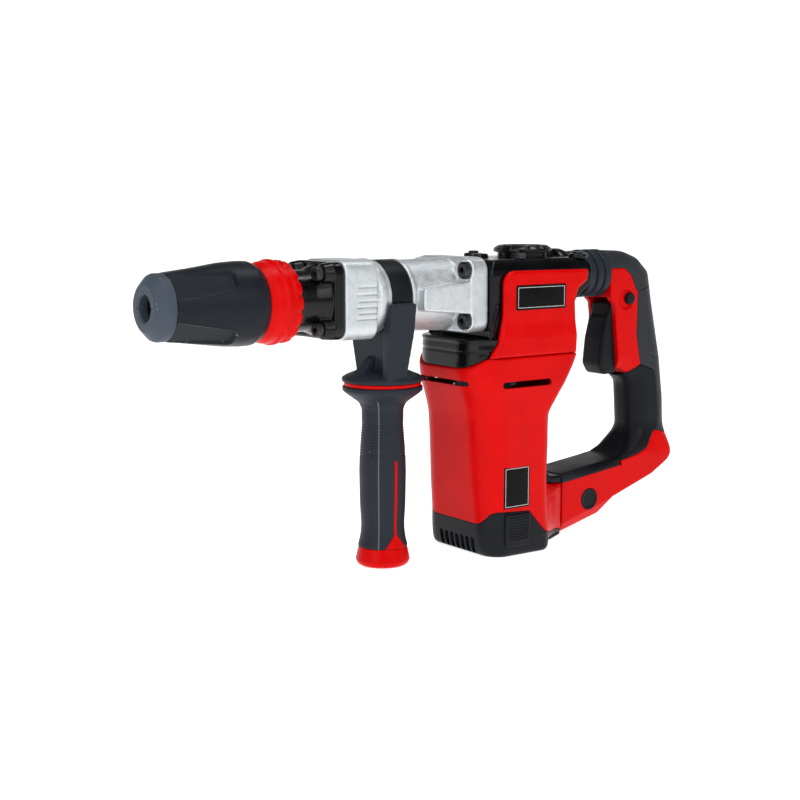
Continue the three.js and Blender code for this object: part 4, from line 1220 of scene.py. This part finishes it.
def softbox(name, spot, size, power):
    light = bpy.data.objects.new(name, bpy.data.lights.new(name, "AREA"))
    light.data.shape = "RECTANGLE"
    light.data.size, light.data.size_y = size
    light.data.energy = power
    light.location = spot
    light.rotation_euler = (Vector(AIM) - Vector(spot)).to_track_quat("-Z", "Y").to_euler()
    bpy.context.scene.collection.objects.link(light)


def studio():
    scene = bpy.context.scene
    scene.view_settings.view_transform = "Standard"
    camera = bpy.data.objects.new("camera", bpy.data.cameras.new("camera"))
    scene.collection.objects.link(camera)
    camera.location = CAMERA_SPOT
    level = math.cos(CAMERA_TILT)
    ahead = Vector((math.sin(CAMERA_TURN) * level, math.cos(CAMERA_TURN) * level,
                    -math.sin(CAMERA_TILT)))
    camera.rotation_euler = ahead.to_track_quat("-Z", "Y").to_euler()
    camera.data.lens = CAMERA_LENS
    camera.data.clip_start = 0.05
    scene.camera = camera

    # The sky is white near the horizon in front of the camera, darker overhead and behind.
    world = bpy.data.worlds.new("studio")
    world.use_nodes = True
    nodes, links = world.node_tree.nodes, world.node_tree.links
    direction = nodes.new("ShaderNodeTexCoord")
    split = nodes.new("ShaderNodeSeparateXYZ")
    nodes["Background"].inputs["Color"].default_value = (1, 1, 1, 1)
    links.new(direction.outputs["Generated"], split.inputs["Vector"])
    climb = map_range(world.node_tree, split.outputs["Z"], 0.18, 0.5, 1.05, 0.1, "SMOOTHSTEP")
    facing = nodes.new("ShaderNodeVectorMath")
    facing.operation = "DOT_PRODUCT"
    facing.inputs[1].default_value = (0.588, 0.809, 0)
    links.new(direction.outputs["Generated"], facing.inputs[0])
    behind = map_range(world.node_tree, facing.outputs["Value"], -0.3, 0.7, 0.22, 1.0,
                       "SMOOTHSTEP")
    both = nodes.new("ShaderNodeMath")
    both.operation = "MULTIPLY"
    links.new(climb, both.inputs[0])
    links.new(behind, both.inputs[1])
    links.new(both.outputs["Value"], nodes["Background"].inputs["Strength"])
    scene.world = world

    softbox("key", (0.1, -1.5, 0.9), (1.3, 0.8), 8)
    softbox("top", (0.0, 0.1, 1.5), (1.6, 0.25), 9)
    softbox("side", (-1.2, -0.4, 0.6), (1.0, 1.0), 6)
    sun = bpy.data.objects.new("sky", bpy.data.lights.new("sky", "SUN"))
    sun.data.energy = 1.15
    sun.data.angle = math.radians(70)
    sun.rotation_euler = (math.radians(28), math.radians(-12), 0)
    scene.collection.objects.link(sun)

    floor_mesh = bpy.data.meshes.new("floor")
    span = (-FLOOR_REACH, FLOOR_REACH)
    floor_mesh.from_pydata([(x, y, 0) for x, y, _ in oblong(span, span, 0)], [], [(0, 1, 2, 3)])
    floor = bpy.data.objects.new("floor", floor_mesh)
    floor.location.z = -0.0002
    scene.collection.objects.link(floor)
    white = surface("floor", (0.8, 0.8, 0.8), 0.6, specular=0.2, cloud=(2, 0.01),
                    grain=(60, 0.02, 0.1))
    shader = white.node_tree.nodes["Principled BSDF"]
    shader.inputs["Emission Color"].default_value = (1, 1, 1, 1)
    shader.inputs["Emission Strength"].default_value = 0.8
    floor_mesh.materials.append(white)


studio()
dust_cap()
locking_sleeve()
index_ring()
screw_set("flange_screw", "housing", cap_screw("flange screw", 5.2, 5.7, 3, 12))
screw_set("housing_screw", "housing", cap_screw("housing screw", 5.7, 8, 3, 12))
screw_set("cover_screw", "housing", cap_screw("cover screw", 4.3, 4.5, 2.5, 8),
          turn=Matrix.Rotation(math.pi / 2, 4, "Y"))
front_flange()
barrel_housing()
gear_housing()
clamp_strap()
clamp_saddle()
grip_sleeve()
grip_core()
crankcase()
top_cover()
grease_cap()
side_cover()
framed_plate("badge_plate", BADGE_X, BADGE_Z, SHELL_HALF - 1.5, 1.2, 1.7)
motor_housing()
framed_plate("label_plate", (39.4, 67.0), (41.0, 76.0), 45.2, 0.6, 1.3)
brush_covers()
handle_parts()
pads()
trigger()
lock_button()
pivot_caps()
bellows()
carried_over()
